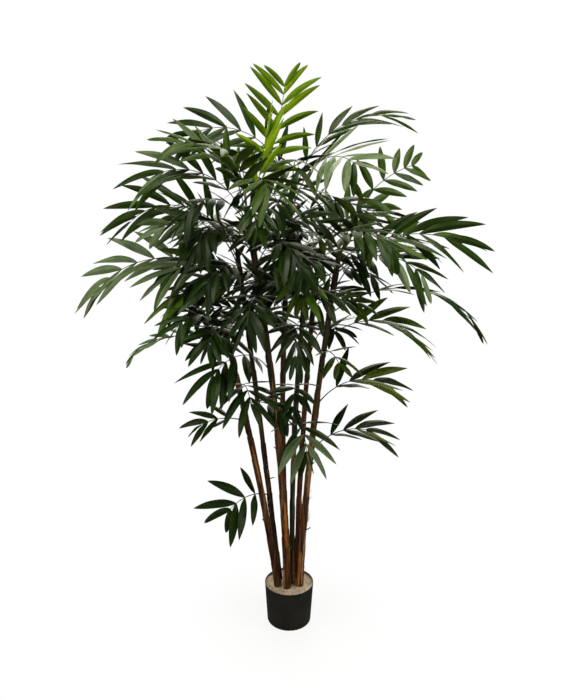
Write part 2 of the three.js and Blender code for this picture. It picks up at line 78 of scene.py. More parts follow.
# Each frond on its cane: height, azimuth, rise at the stalk, slope at the tip, length, roll about its rib,
# lift of its leaflets over the rib, their mean angle off the rib, tone and, where it isn't 1, the size of its
# leaflets. Angles are degrees.
FIELDS = ("height", "azimuth", "rise", "fall", "length", "roll", "lift", "spread", "tone", "size")
FRONDS = {
    "left_outer": [
        (885, 192, 20, -30, 165, 30, 0, 34, "old", 0.75),
        (950, 320, 30, -40, 210, 0, 0, 44, "old", 0.75),
        (1010, 284, 42, -42, 230, 0, -10, 44, "old", 0.9),
        (1120, 115, 45, -30, 420, -20, 10, 37, "old"),
        (1155, 182, 34, -45, 370, 0, 4, 40, "old", 0.55),
        (1195, 258, 56, -45, 240, 10, 0, 40, "old", 0.8),
        (1245, 225, 52, -45, 230, 20, 0, 36, "old", 0.75),
    ],
    "left_inner": [
        (545, 218, 26, -38, 190, 45, 0, 56, "old", 1.05),
        (1205, 240, 40, -45, 260, 15, 0, 37, "old", 0.85),
        (1365, 178, 40, -56, 620, 42, 5, 36, "grown", 0.92),
        (1410, 205, 38, -42, 300, 30, 0, 32, "old"),
        (1450, 128, 50, -20, 480, -25, 15, 37, "grown", 0.9),
        (1485, 184, 70, -46, 475, 50, 5, 32, "grown"),
        (1505, 250, 60, -58, 380, 0, -12, 37, "old"),
    ],
    "middle_front": [
        (1080, 232, 48, -40, 330, 20, -5, 40, "old"),
        (1295, 262, 50, -55, 350, 0, -12, 40, "old"),
        (1345, 196, 36, -42, 330, 40, 0, 30, "old"),
        (1400, 238, 46, -42, 330, 15, -8, 37, "old"),
        (1455, 296, 54, -55, 390, -5, -12, 37, "old"),
        (1530, 220, 50, -55, 250, 10, -5, 37, "grown"),
        (1560, 275, 60, -50, 380, 5, -8, 37, "grown"),
        (1572, 224, 70, -60, 360, 10, -15, 37, "old"),
        (1592, 186, 76, -36, 445, 45, 5, 30, "grown"),
        (1628, 100, 66, -12, 450, 0, 12, 37, "grown"),
        (1652, 190, 85, -4, 355, 40, 0, 34, "grown", 0.78),
        (1655, 5, 64, 84, 428, -85, 8, 48, "young", 0.82),
    ],
    "middle_back": [
        (1250, 100, 40, -30, 420, 0, 10, 37, "old"),
        (1400, 150, 48, -30, 440, 20, 10, 37, "old"),
        (1550, 110, 55, -25, 500, 10, 15, 37, "grown"),
        (1630, 300, 66, -24, 470, -30, 0, 56, "grown", 0.92),
        (1650, 181, 90, -28, 525, 55, 5, 36, "old", 0.9),
        (1655, 4, 84, -8, 530, -15, 5, 26, "grown", 0.88),
    ],
    "centre": [
        (850, 280, 45, -62, 240, 0, -10, 46, "grown", 1.1),
        (1010, 265, 35, -45, 220, 0, 0, 40, "old", 0.9),
        (1200, 265, 48, -50, 360, 0, -10, 37, "old"),
        (1400, 262, 35, -50, 170, 0, 0, 37, "grown"),
        (1470, 318, 60, -45, 400, -10, -8, 37, "grown"),
    ],
    "right_back": [
        (1080, 70, 40, -40, 400, 0, 10, 37, "old"),
        (1330, 100, 50, -30, 470, 10, 15, 37, "grown"),
        (1420, 62, 55, -25, 500, -10, 15, 37, "grown"),
        (1485, 30, 64, -30, 380, -30, 8, 37, "grown"),
    ],
    "right_outer": [
        (765, 358, 48, -22, 250, -22, 6, 30, "old"),
        (950, 0, 52, -24, 260, -20, 6, 30, "old", 1.1),
        (1150, 290, 15, -35, 130, 0, 0, 50, "grown", 0.8),
        (1200, 0, 38, -42, 325, -16, 5, 28, "grown", 1.05),
        (1290, 352, 38, -48, 545, 5, -5, 26, "old", 0.8),
        (1330, 255, 46, -52, 280, 0, -12, 40, "old"),
        (1380, 40, 50, -20, 480, -30, 10, 37, "grown"),
        (1440, 338, 40, -48, 330, -20, -8, 44, "grown", 0.9),
        (1480, 352, 36, -24, 440, -55, 0, 23, "grown"),
        (1515, 10, 78, 15, 400, -50, 5, 58, "grown", 0.66),
    ],
}

# Sprays that fill the crown's middle and its top, told as the fronds are, with leaflets of SPRAY_SIZE unless
# their size is given. One that finds no free way is left out.
SPRAY_SIZE = 0.66
SPRAYS = {
    "middle_front": [
        (1648, 345, 74, 82, 300, -60, 0, 20, "young", 0.9),
        (1645, 250, 84, 0, 320, 10, 0, 34, "grown", 0.8),
        (1610, 232, 66, -62, 270, 5, -12, 42, "old", 0.9),
        (1640, 305, 76, -50, 340, 0, -5, 42, "grown", 0.95),
        (1620, 340, 60, -35, 300, -25, 0, 40, "old"),
        (1570, 208, 45, -30, 260, 30, 0, 42, "grown"),
        (1540, 345, 50, -35, 300, -30, 0, 40, "old"),
        (1440, 5, 42, -35, 280, -30, 0, 40, "old"),
        (1380, 200, 38, -35, 280, 35, 0, 38, "old"),
        (1270, 190, 34, -35, 250, 35, 0, 36, "old"),
        (1190, 200, 36, -38, 250, 30, 0, 38, "old"),
    ],
    "middle_back": [
        (1655, 330, 86, 25, 360, -20, 0, 36, "grown", 0.85),
        (1650, 274, 80, -45, 390, 0, -5, 44, "grown", 1.0),
        (1640, 222, 68, -60, 330, 10, -10, 42, "old", 0.9),
        (1600, 240, 58, -55, 320, 10, -10, 42, "old"),
        (1570, 330, 58, -40, 340, -25, -5, 42, "old"),
        (1480, 192, 48, -38, 320, 30, 0, 40, "old"),
        (1430, 345, 46, -38, 300, -30, -5, 42, "old"),
        (1360, 205, 44, -40, 300, 25, -5, 42, "old"),
        (1300, 345, 42, -38, 280, -25, 0, 40, "old"),
        (1210, 195, 40, -38, 280, 30, 0, 38, "old"),
    ],
    "centre": [
        (1450, 240, 60, -58, 280, 5, -8, 42, "old"),
        (1440, 20, 48, -38, 280, -25, 0, 42, "grown"),
        (1350, 190, 46, -38, 250, 30, -5, 42, "old"),
        (1300, 5, 42, -35, 220, -30, 0, 40, "grown"),
    ],
    "right_back": [
        (1470, 240, 66, -50, 340, 10, -8, 42, "old"),
        (1450, 178, 55, -40, 320, 30, 0, 40, "old"),
        (1370, 330, 46, -42, 280, -20, -8, 42, "old"),
        (1290, 195, 44, -40, 280, 30, 0, 42, "old"),
    ],
    "right_outer": [
        (1510, 300, 74, -52, 260, 0, -5, 42, "grown", 0.8),
        (1505, 345, 80, 5, 280, -30, 0, 36, "young", 0.66),
        (1495, 185, 60, -40, 320, 30, 0, 40, "old"),
        (1430, 240, 50, -55, 260, 10, -8, 42, "old"),
        (1410, 165, 50, -40, 300, 20, 0, 42, "old"),
        (1350, 195, 46, -40, 260, 30, -5, 40, "grown"),
    ],
    "left_inner": [
        (1500, 186, 72, -25, 370, 45, 0, 36, "grown", 0.85),
        (1490, 330, 52, -45, 300, -20, -5, 42, "old"),
        (1400, 195, 34, -32, 300, 35, 0, 36, "old"),
        (1340, 345, 42, -40, 280, -25, 0, 40, "old"),
        (1290, 188, 32, -34, 270, 35, 0, 36, "old"),
    ],
    "left_outer": [
        (1235, 340, 50, -45, 260, -20, -5, 42, "old"),
    ],
}

# Fronds and sprays whose light is painted into the colour of their leaflets: painted shade where they lie in
# the crown's shade, where all leaflets have their tone's deepest colour; a painted pale sheen; painted light
# at the lower right edge; and painted light at the left edge.
LIGHT = {
    "left_outer_frond": {"lit": (5,)},
    "left_inner_frond": {"shaded": (6, 7), "lit": (3, 4)},
    "left_inner_spray": {"pale": (1,)},
    "middle_front_frond": {"shaded": (2, 4, 5, 6, 7, 8), "pale": (9,), "lit": (3,)},
    "middle_back_frond": {"pale": (4, 6)},
    "middle_back_spray": {"pale": (2,)},
    "centre_frond": {"shaded": (3, 5), "pale": (1,)},
    "right_outer_frond": {"shaded": (6,), "pale": (8,), "fresh": (1, 2, 4, 5)},
}
LIGHT = {
    f"{name}_{k}": light
    for name, lights in LIGHT.items()
    for light, numbers in lights.items()
    for k in numbers
}

# Fronds whose leaflets are drawn a little other than their solids: the share of their length and of their
# width, and how far those left and right of the rib are turned towards its tip and all are rolled about it,
# in degrees.
DRAWN = {
    "left_inner": {1: (0.95, 1.12, 6, 8), 3: (0.94, 0.95, 16, 0), 6: (0.95, 0.85), 7: (0.75, 0.87)},
    "middle_front": {
        2: (0.8, 0.87), 4: (0.78, 0.87), 5: (0.75, 0.85), 6: (0.75, 0.87), 7: (0.56, 0.76), 8: (0.72, 0.85),
        9: (0.95, 0.88), 12: (1, 0.76, -8, 13),
    },
    "middle_back": {5: (0.95, 0.88), 6: (0.9, 0.9, 0, 0, -15)},
    "centre": {1: (0.86, 1), 2: (0.8, 0.9), 3: (0.75, 0.87), 5: (0.72, 0.85)},
    "right_outer": {6: (0.78, 0.88), 9: (1, 0.85)},
}
DRAWN = {f"{name}_frond_{k}": change for name, changes in DRAWN.items() for k, change in changes.items()}

STALK_SHARE = 0.31
RIB = SimpleNamespace(foot=4.2, stalk=3.4, tip=1.8, foot_length=45, depth=1.3, arch=1.2, stride=20)
LEAFLET = SimpleNamespace(
    length=205, width=36, thickness=2.4, spacing=47, least_spacing=43, base_width=8, widest_at=0.47,
    full_from=450, fewest_pairs=3, crowding=1.25,
)
# How a frond's leaflets change with its length: the powers of their spacing, length and width.
GROWTH = SimpleNamespace(spacing=0.8, length=0.3, width=0.6)
# The size of the leaflets along a frond: of the first pair, how much they gain, and how they lose it again.
SIZES = SimpleNamespace(first=0.82, gain=0.55, loss=0.8, loss_power=2.5)
NARROWING = 13
RAISED = (20, -6)
BENT = SimpleNamespace(down=0.33, forward=0.08)
JITTER = SimpleNamespace(angle=6, lift=8, twist=16, size=0.08, droop=0.12)
# What is tried, in turn, with a leaflet that would touch something: turns of angle and lift, and a share of
# its size.
RETRIES = [
    (0, 0, 1), (0, 12, 1), (0, -12, 1), (8, 22, 0.95), (-8, -22, 0.95), (-14, 0, 0.9), (12, 30, 0.85),
    (12, -30, 0.8),
]
TURNS = [0, 4, -4, 8, -8, 12, -12, 17, -17, 23, -23, 30, -30]
DROPS = [0, 18, 36, 54]
SEAT = SimpleNamespace(deepest=-2, step=0.05, samples=12)
LEAF_CLEARANCE = 2
RIB_CLEARANCE = 3


# Small mathematics

def lerp(a, b, share):
    return a + (b - a) * share


def unit(vector):
    return vector / np.linalg.norm(vector)


def smooth(low, high, value):
    share = np.clip((value - low) / (high - low), 0, 1)
    return share * share * (3 - 2 * share)


def turns(count):
    """Angles all round, evenly spaced."""
    return 2 * np.pi * np.arange(count) / count


def outward(angle):
    """The level direction of an azimuth, or of each azimuth of an array."""
    return np.stack([np.cos(angle), np.sin(angle), 0 * angle], -1)


def colour(code):
    """The linear colour of a six-digit sRGB code, with alpha."""
    parts = [int(code[i : i + 2], 16) / 255 for i in (0, 2, 4)]
    return (*[c / 12.92 if c <= 0.04045 else ((c + 0.055) / 1.055) ** 2.4 for c in parts], 1.0)


def seeded(seed):
    """A seeded series of numbers from -1 to 1."""
    state = (seed * 2654435761 + 12345) & 0xFFFFFFFF
    while True:
        state = (state * 1664525 + 1013904223) & 0xFFFFFFFF
        yield state / 2147483648 - 1


# The growth rule

def cane_at(cane, height):
    """A point of a cane's centre line, and its radius there, at a height."""
    foot = FILL.top + GAP
    q = (height - foot) / (cane.tip[2] - foot)
    bow = 4 * q * (1 - q)
    x = lerp(cane.foot[0], cane.tip[0], q) + bow * cane.bend[0]
    y = lerp(cane.foot[1], cane.tip[1], q) + bow * cane.bend[1]
    flare = 1 + FLARE.widening * max(0, 1 - (height - foot) / FLARE.height)
    return np.array([x, y, height]), lerp(cane.radius[0], cane.radius[1], q) * flare


def cane_rings(cane):
    foot = FILL.top + GAP
    steps = round((cane.tip[2] - foot) / CANE_STEP)
    heights = [foot, foot + FLARE.height]
    heights += [lerp(foot, cane.tip[2], i / steps) for i in range(1, steps + 1)]
    places = [cane_at(cane, height) for height in heights]
    return [point + radius * outward(turns(CANE_SIDES)) for point, radius in places]


def cell(owner, points, normals, edges, pair=None):
    """A convex piece of the plant, with the directions in which a gap to another piece is looked for."""
    points = np.array(points)
    centre = points.mean(0)
    radius = np.linalg.norm(points - centre, axis=1).max()
    return SimpleNamespace(
        owner=owner, points=points, normals=np.array(normals), edges=np.array(edges), centre=centre,
        radius=radius, pair=pair,
    )


def apart(a, b, clearance):
    crossed = np.cross(a.edges[:, None], b.edges[None]).reshape(-1, 3)
    for axes in (np.vstack([a.normals, b.normals]), crossed):
        size = np.linalg.norm(axes, axis=1)
        on_a = a.points @ axes.T
        on_b = b.points @ axes.T
        gap = np.maximum(on_b.min(0) - on_a.max(0), on_a.min(0) - on_b.max(0))
        if ((gap > clearance * size) & (size >= 1e-3)).any():
            return True
    return False


class Placed:
    """The cells that new growth keeps clear of."""

    def __init__(self, cells):
        self.cells = []
        self.centres = np.zeros((0, 3))
        self.radii = np.zeros(0)
        self.add(cells)

    def add(self, cells):
        self.cells += cells
        self.centres = np.vstack([self.centres, [c.centre for c in cells]])
        self.radii = np.append(self.radii, [c.radius for c in cells])

    def clear(self, cells, clearance, skip):
        for made in cells:
            reach = self.radii + made.radius + clearance
            near = np.flatnonzero(np.linalg.norm(self.centres - made.centre, axis=1) <= reach)
            if any(not skip(self.cells[i]) and not apart(made, self.cells[i], clearance) for i in near):
                return False
        return True


def cane_cells(name, rings):
    cells = []
    for low, high in zip(rings, rings[1:]):
        line = unit(high[0] - low[0])
        edges = [unit(low[k + 1] - low[k]) for k in range(CANE_SIDES // 2)]
        normals = [UP] + [unit(np.cross(edge, line)) for edge in edges]
        cells.append(cell(name, np.vstack([low, high]), normals, [line, *edges]))
    return cells


def rib_of(frond, most=None):
    """The rib of a frond: stations along its arch, and those after which a pair of leaflets stands. With
    most, only that many stations are made."""
    azimuth = math.radians(frond.azimuth)
    heading = np.array([math.cos(azimuth), math.sin(azimuth), 0])
    level = np.array([math.sin(azimuth), -math.cos(azimuth), 0])
    stalk = frond.length * STALK_SHARE
    spacing = LEAFLET.spacing * (frond.length / LEAFLET.full_from) ** GROWTH.spacing
    spacing = max(LEAFLET.least_spacing, spacing) * frond.fineness
    pairs = max(LEAFLET.fewest_pairs, math.floor((frond.length - stalk) / spacing + 0.5) + 1)
    distances = [0, RIB.foot_length, (RIB.foot_length + stalk) / 2]
    starts = []
    for i in range(pairs):
        at = lerp(stalk, frond.length - LEAFLET.base_width, 1 - (1 - i / (pairs - 1)) ** LEAFLET.crowding)
        starts.append(len(distances))
        distances += [at, at + LEAFLET.base_width]

    def slope_at(distance):
        return math.radians(lerp(frond.rise, frond.fall, (distance / frond.length) ** RIB.arch))

    foot, radius = cane_at(frond.cane, frond.height)
    point = foot + heading * (radius + GAP + frond.seat)
    stations = []
    travelled = 0
    for distance in distances[:most]:
        steps = max(1, math.ceil((distance - travelled) / RIB.stride))
        step = (distance - travelled) / steps
        for _ in range(steps):
            slope = slope_at(travelled + step / 2)
            point = point + heading * (math.cos(slope) * step) + UP * (math.sin(slope) * step)
            travelled += step
        slope = slope_at(distance)
        forward = heading * math.cos(slope) + UP * math.sin(slope)
        raised = np.cross(level, forward)
        roll = math.radians(frond.roll) * min(1, distance / stalk)
        side = level * math.cos(roll) + raised * math.sin(roll)
        up = raised * math.cos(roll) - level * math.sin(roll)
        if distance < RIB.foot_length:
            half = lerp(RIB.foot, RIB.stalk, distance / RIB.foot_length)
        else:
            half = lerp(RIB.stalk, RIB.tip, (distance - RIB.foot_length) / (frond.length - RIB.foot_length))
        stations.append(SimpleNamespace(
            point=point, forward=forward, side=side, up=up, half=half, distance=distance,
            left=point - side * half, right=point + side * half, keel=point - up * RIB.depth * half,
        ))
    return SimpleNamespace(stations=stations, starts=starts)


def rib_cells(owner, rib):
    cells = []
    for a, b in zip(rib.stations, rib.stations[1:]):
        normals = [a.up, a.side, a.up + a.side, a.up - a.side]
        edges = [unit(b.point - a.point), a.side, a.up]
        cells.append(cell(owner, [a.left, a.right, a.keel, b.left, b.right, b.keel], normals, edges))
    return cells


def outside(points, rings):
    """How far points lie outside their cane's outline, each at its own height."""
    rings = np.array(rings)
    levels = rings[:, 0, 2]
    upper = np.minimum(np.searchsorted(levels, points[:, 2], side="right"), len(rings) - 1)
    low, high = rings[upper - 1], rings[upper]
    share = np.minimum(1, (points[:, 2] - levels[upper - 1]) / (levels[upper] - levels[upper - 1]))
    outline = lerp(low, high, share[:, None, None])
    edges = np.roll(outline, -1, 1) - outline
    edges /= np.linalg.norm(edges, axis=2)[..., None]
    off = points[:, None] - outline
    return (off[..., 0] * edges[..., 1] - off[..., 1] * edges[..., 0]).max(1)


def foot_clearance(rib, rings):
    """The smallest gap between a rib's foot and its cane, over its flat side and along its other edges."""
    foot, after = rib.stations[:2]
    shares = np.linspace(0, 1, SEAT.samples + 1)[:, None]
    starts = [foot.left, foot.right, foot.keel, foot.left, *lerp(foot.left, foot.right, shares)]
    ends = [foot.keel, foot.keel, after.keel, after.right, *lerp(after.left, after.right, shares)]
    points = [lerp(a, b, shares) for a, b in zip(starts, ends)]
    return outside(np.concatenate(points), rings).min()


def leaflet_of(frond, rib, pair, side, draws, retry):
    """One leaflet of a pair, on side -1 (left) or +1 (right) of the rib."""
    share = pair / (len(rib.starts) - 1)
    a, b = rib.stations[rib.starts[pair]], rib.stations[rib.starts[pair] + 1]
    more_angle, more_lift, shorter = retry
    angle = math.radians(frond.spread + NARROWING * (1 - 2 * share) + JITTER.angle * draws[0] + more_angle)
    lift = math.radians(frond.lift + lerp(*RAISED, share) + JITTER.lift * draws[1] + more_lift)
    size = SIZES.first + SIZES.gain * share - SIZES.loss * share**SIZES.loss_power
    size = size * (1 + JITTER.size * draws[2]) * shorter
    length = LEAFLET.length * frond.size * size * (frond.length / LEAFLET.full_from) ** GROWTH.length
    out = a.side * (side * math.cos(lift)) + a.up * math.sin(lift)
    direction = a.forward * math.cos(angle) + out * math.sin(angle)
    root = lerp(a.point, b.point, 0.5)
    flat = unit(a.forward - direction * (a.forward @ direction))
    twist = math.radians(JITTER.twist * draws[3])
    across = flat * math.cos(twist) + np.cross(direction, flat) * side * math.sin(twist)
    normal = np.cross(direction, across) * side
    sideways_down = direction * direction[2] - UP
    bend = a.forward * BENT.forward + sideways_down * (BENT.down + JITTER.droop * draws[4])
    half = LEAFLET.width / 2 * lerp(1, length / LEAFLET.length, GROWTH.width)
    leaf = SimpleNamespace(
        root=root, direction=direction, across=across, bend=bend, length=length, half=half, side=side,
        pair=pair, share=share,
    )
    widest = along_leaf(leaf, LEAFLET.widest_at)
    tip = along_leaf(leaf, 1)
    near, far = widest - across * half, widest + across * half
    ridge = widest + normal * LEAFLET.thickness
    base = (a.right, b.right, b.keel, a.keel) if side > 0 else (a.left, b.left, b.keel, a.keel)
    edges = [unit(tip - near), unit(tip - far), unit(near - base[0]), unit(far - base[1]), across]
    bent = unit(np.cross(unit(tip - ridge), across))
    points = [*base, near, far, ridge, tip]
    leaf.cell = cell(frond.name, points, [normal, across, direction, bent], edges, pair)
    return leaf


def along_leaf(leaf, t):
    return leaf.root + leaf.direction * (leaf.length * t) + leaf.bend * (leaf.length * t * t)


def rows_of(table, kind, usual_size):
    """The fronds of a table, cane by cane. A spray's leaflets stand closer together as they are smaller."""
    for name, rows in table.items():
        for k, row in enumerate(rows, 1):
            own = {"size": usual_size, **dict(zip(FIELDS, row))}
            fineness = own["size"] if kind == "spray" else 1
            yield SimpleNamespace(
                name=f"{name}_{kind}_{k}", cane=CANES[name], seat=0, leaves=[], fineness=fineness, **own
            )


def place_rib(frond, placed, rings):
    """Turns a rib, or sets it a little lower, until it touches nothing. Says whether a free way was found."""
    height, azimuth = frond.height, frond.azimuth
    for frond.height, frond.azimuth in ((height - drop, azimuth + turn) for drop in DROPS for turn in TURNS):
        cells = rib_cells(frond.name, rib_of(frond))
        if placed.clear(cells[2:], RIB_CLEARANCE, lambda c: False) and placed.clear(
            cells[:2], RIB_CLEARANCE, lambda c: c.owner == frond.cane.name
        ):
            break
    else:
        return False
    frond.seat = SEAT.deepest
    while foot_clearance(rib_of(frond, 2), rings[frond.cane.name]) < GAP:
        frond.seat += SEAT.step
    frond.rib = rib_of(frond)
    placed.add(rib_cells(frond.name, frond.rib))
    return True


def place_leaves(frond, placed, seed):
    """Adds a frond's leaflets, each tried in a few ways and left out where none is clear."""
    random = seeded(seed)
    for pair in range(len(frond.rib.starts)):
        for side in (-1, 1):
            draws = [next(random) for _ in range(5)]

            def own(c):
                return c.owner == frond.name and c.pair in (None, pair)

            for retry in RETRIES:
                leaf = leaflet_of(frond, frond.rib, pair, side, draws, retry)
                if placed.clear([leaf.cell], LEAF_CLEARANCE, own):
                    frond.leaves.append(leaf)
                    placed.add([leaf.cell])
                    break


def grow():
    """The fronds, placed as the solids are, every rib first and then every leaflet. The sprays follow."""
    rings = {name: cane_rings(cane) for name, cane in CANES.items()}
    placed = Placed([c for name in CANES for c in cane_cells(name, rings[name])])
    grown = []
    for table, kind, size in ((FRONDS, "frond", 1), (SPRAYS, "spray", SPRAY_SIZE)):
        found = [frond for frond in rows_of(table, kind, size) if place_rib(frond, placed, rings)]
        if table is FRONDS and len(found) < sum(map(len, table.values())):
            raise RuntimeError("a frond finds no free way")
        for seed, frond in enumerate(found, len(grown) + 1):
            place_leaves(frond, placed, seed)
        grown += found
    return grown


# Meshes

class Shape:
    """Many small forms gathered into one mesh. Points are millimetres, and map places are given by corner."""

    def __init__(self):
        self.points = []
        self.faces = []
        self.places = []
        self.count = 0

    def add(self, points, faces, places=None):
        self.points.append(points)
        for block in faces:
            self.faces += (np.asarray(block) + self.count).tolist()
        if places is not None:
            self.places.append(places)
        self.count += len(points)

    def piece(self, name, material, slot, replaced=(), sharp=60):
        mesh = bpy.data.meshes.new(name)
        mesh.from_pydata((np.concatenate(self.points) * MM).tolist(), [], self.faces)
        if self.places:
            layer = mesh.uv_layers.new(name=MAP)
            layer.uv.foreach_set("vector", np.concatenate(self.places).astype(np.float32).ravel())
        mesh.shade_smooth()
        mesh.set_sharp_from_angle(angle=math.radians(sharp))
        mesh.materials.append(material)
        thing = bpy.data.objects.new(name, mesh)
        bpy.context.scene.collection.objects.link(thing)
        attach(thing, "root")
        if replaced:
            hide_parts(*replaced)


def grid_faces(rows, columns, closed=False):
    """The faces of a grid of points, row after row. A closed grid joins its last column to its first."""
    low = np.arange(rows - 1)[:, None] * columns
    here = np.arange(columns if closed else columns - 1)[None]
    beside = (here + 1) % columns
    corners = [low + here, low + beside, low + columns + beside, low + columns + here]
    return np.stack([c.ravel() for c in corners], 1)


def tube_faces(rows, sides):
    """The faces of a closed tube of rings of points, with its two ends."""
    ring = np.arange(sides)[None]
    return [grid_faces(rows, sides, closed=True), ring[:, ::-1], ring + (rows - 1) * sides]


def grid_places(u, v):
    """A grid's map places, from the u of its columns and the v of its rows."""
    return np.stack(np.meshgrid(u, v), -1).reshape(-1, 2)


def tube(path, wide, high, sides, side=None, up=None):
    """Points and faces of a closed tube through a path, with the half sizes of its section and, where they
    matter, its two directions."""
    if side is None:
        ways = np.gradient(path, axis=0)
        side = np.cross(ways, [0.31, 0.95, 0.05])
        side /= np.linalg.norm(side, axis=1)[:, None]
        up = np.cross(side, ways / np.linalg.norm(ways, axis=1)[:, None])
    angles = turns(sides)
    rounds = side[:, None] * np.cos(angles)[None, :, None] * np.reshape(wide, (-1, 1, 1))
    rounds = rounds + up[:, None] * np.sin(angles)[None, :, None] * np.reshape(high, (-1, 1, 1))
    return (path[:, None] + rounds).reshape(-1, 3), tube_faces(len(path), sides)


# Leaflets

LEAF_ROWS = 15
LEAF_ACROSS = np.array([-1, -0.6, -0.14, 0, 0.14, 0.6, 1])
LEAF_MAP_COLUMNS = 4
# A leaflet's blade: sizes in millimetres, its curl in degrees and the rest as shares and powers. Pairs are
# the least and the most, or the shares of the length between which its fold and its waves grow.
BLADE = SimpleNamespace(
    thickness=0.9, midrib=0.45, fold=0.2, folds=(0.5, 1.5), fold_grows=(0, 0.2), base=1.6, tip=0.25,
    swell=0.8, wave=0.09, wave_sizes=(0.3, 1.2), waves=(1.2, 2.2), wave_grows=(0.05, 0.3), curl=24,
    bleed=0.02, blunt=0.3, droop_power=1.4, curl_power=1.5, thick_at_base=1.4, thick_at_tip=0.5,
)


def leaf_stations():
    """Shares of a leaflet's length, closer together at its ends."""
    steps = np.linspace(0, 1, LEAF_ROWS)
    return steps**1.25 * 0.55 + (1 - (1 - steps) ** 1.3) * 0.45


def leaf_blocks():
    """Faces of a leaflet and where their corners lie in one column of the leaf map: the upper face in the
    lower half of the map, the underside in the upper half."""
    columns = len(LEAF_ACROSS)
    inner = columns - 2
    upper = np.arange(LEAF_ROWS * columns).reshape(LEAF_ROWS, columns)
    under = upper.copy()
    under[:, 1:-1] = upper.size + np.arange(LEAF_ROWS * inner).reshape(LEAF_ROWS, inner)
    u = (LEAF_ACROSS + 1) / 2 * (1 - 2 * BLADE.bleed) + BLADE.bleed
    v = lerp(BLADE.bleed, 0.5 - BLADE.bleed, leaf_stations())
    places = grid_places(u, v)
    grid = grid_faces(LEAF_ROWS, columns)
    turned = grid[:, [0, 3, 2, 1]]
    blocks = [(grid, places[grid]), (under.ravel()[turned], places[turned] + (0, 0.5))]
    ends = [
        (np.concatenate([under[0], upper[0, -2:0:-1]]), v[0]),
        (np.concatenate([upper[-1], under[-1, -2:0:-1]]), v[-1]),
    ]
    return blocks + [(ring[None], np.full((1, ring.size, 2), (0.5, end_v))) for ring, end_v in ends]


def faced(side):
    """A leaflet's faces and map places, their corners turned round on the side where they would face in."""
    order = slice(None, None, side)
    faces = [block[:, order] for block, _ in leaf_blocks()]
    return faces, np.concatenate([places[:, order].reshape(-1, 2) for _, places in leaf_blocks()])


LEAF_SIDES = {side: faced(side) for side in (-1, 1)}


def leaf_width(t, bluntness):
    """The share of its greatest half-width that a leaflet has at a share of its length."""
    swing = t ** (math.log(0.5) / math.log(LEAFLET.widest_at))
    return np.sin(np.pi * np.clip(swing, 0, 1)) ** (BLADE.swell - bluntness)


def leaf_points(leaf, random):
    """A leaflet's blade: lens-shaped in section, folded down from its midrib, a little twisted and waved."""
    t = leaf_stations()
    curl = math.radians(BLADE.curl) * random.uniform(-1, 1)
    centre = leaf.root + np.outer(leaf.length * t, leaf.direction) + np.outer(leaf.length * t * t, leaf.bend)
    ways = leaf.direction + 2 * t[:, None] * leaf.bend
    ways /= np.linalg.norm(ways, axis=1)[:, None]
    flat = leaf.across - ways * (ways @ leaf.across)[:, None]
    flat /= np.linalg.norm(flat, axis=1)[:, None]
    turn = (curl * t**BLADE.curl_power)[:, None]
    across = flat * np.cos(turn) + np.cross(ways, flat) * leaf.side * np.sin(turn)
    normal = (np.cross(ways, across) * leaf.side)[:, None]
    half = leaf.half * leaf_width(t, BLADE.blunt * leaf.share**3)
    half = np.maximum(half, np.where(t < 0.5, BLADE.base, BLADE.tip))[:, None]
    u = LEAF_ACROSS[None]
    fold = BLADE.fold * random.uniform(*BLADE.folds) * smooth(*BLADE.fold_grows, t)[:, None]
    wave = BLADE.wave * random.uniform(*BLADE.wave_sizes)
    wave = wave * np.sin(2 * np.pi * (random.uniform(*BLADE.waves) * t + random.random()))
    wave = wave * smooth(*BLADE.wave_grows, t)
    height = half * (wave[:, None] * u * np.abs(u) - fold * np.abs(u) ** BLADE.droop_power)
    thick = BLADE.thickness / 2 * (1 - u * u) * lerp(BLADE.thick_at_base, BLADE.thick_at_tip, t)[:, None]
    thick = thick + BLADE.midrib * (u == 0) * (1 - t)[:, None]
    middle = centre[:, None] + across[:, None] * (half * u)[..., None]
    upper = middle + normal * (height + thick)[..., None]
    lower = middle + normal * (height - thick)[..., None]
    return np.concatenate([upper.reshape(-1, 3), lower[:, 1:-1].reshape(-1, 3)])


def rolled(vector, axis, degrees):
    angle = math.radians(degrees)
    along = axis * (axis @ vector) * (1 - math.cos(angle))
    return vector * math.cos(angle) + np.cross(vector, axis) * math.sin(angle) + along


def drawn_leaf(leaf, axis, length_share=1, width_share=1, left_turn=0, right_turn=0, roll=0):
    """A leaflet shortened, narrowed, turned in its own plane about its root and rolled about its rib."""
    turn = math.radians(right_turn if leaf.side > 0 else left_turn)
    changed = {
        "length": leaf.length * length_share,
        "half": leaf.half * width_share,
        "direction": rolled(leaf.direction * math.cos(turn) + leaf.across * math.sin(turn), axis, roll),
        "across": rolled(leaf.across * math.cos(turn) - leaf.direction * math.sin(turn), axis, roll),
    }
    return SimpleNamespace(**{**vars(leaf), **changed})


# Ribs, drawn slimmer than the solids have them, with a broad, flattened foot that starts inside the bark
DRAWN_RIB = SimpleNamespace(sides=8, step=9, slim=0.62, flat=0.9, sunk=5, foot_widening=0.9, foot_length=40)


def rib_path(rib):
    """A smooth path through a rib's stations, with its directions and half-width at each point."""
    rows = []
    for a, b in zip(rib.stations, rib.stations[1:]):
        size = b.distance - a.distance
        steps = max(1, math.ceil(size / DRAWN_RIB.step))
        for s in np.arange(steps) / steps:
            point = (
                a.point * (1 + 2 * s) * (1 - s) ** 2
                + b.point * s * s * (3 - 2 * s)
                + a.forward * size * s * (1 - s) ** 2
                - b.forward * size * s * s * (1 - s)
            )
            side, up = unit(lerp(a.side, b.side, s)), unit(lerp(a.up, b.up, s))
            rows.append((point, side, up, lerp(a.half, b.half, s)))
    last = rib.stations[-1]
    rows.append((last.point, last.side, last.up, last.half))
    return [np.array(column) for column in zip(*rows)]


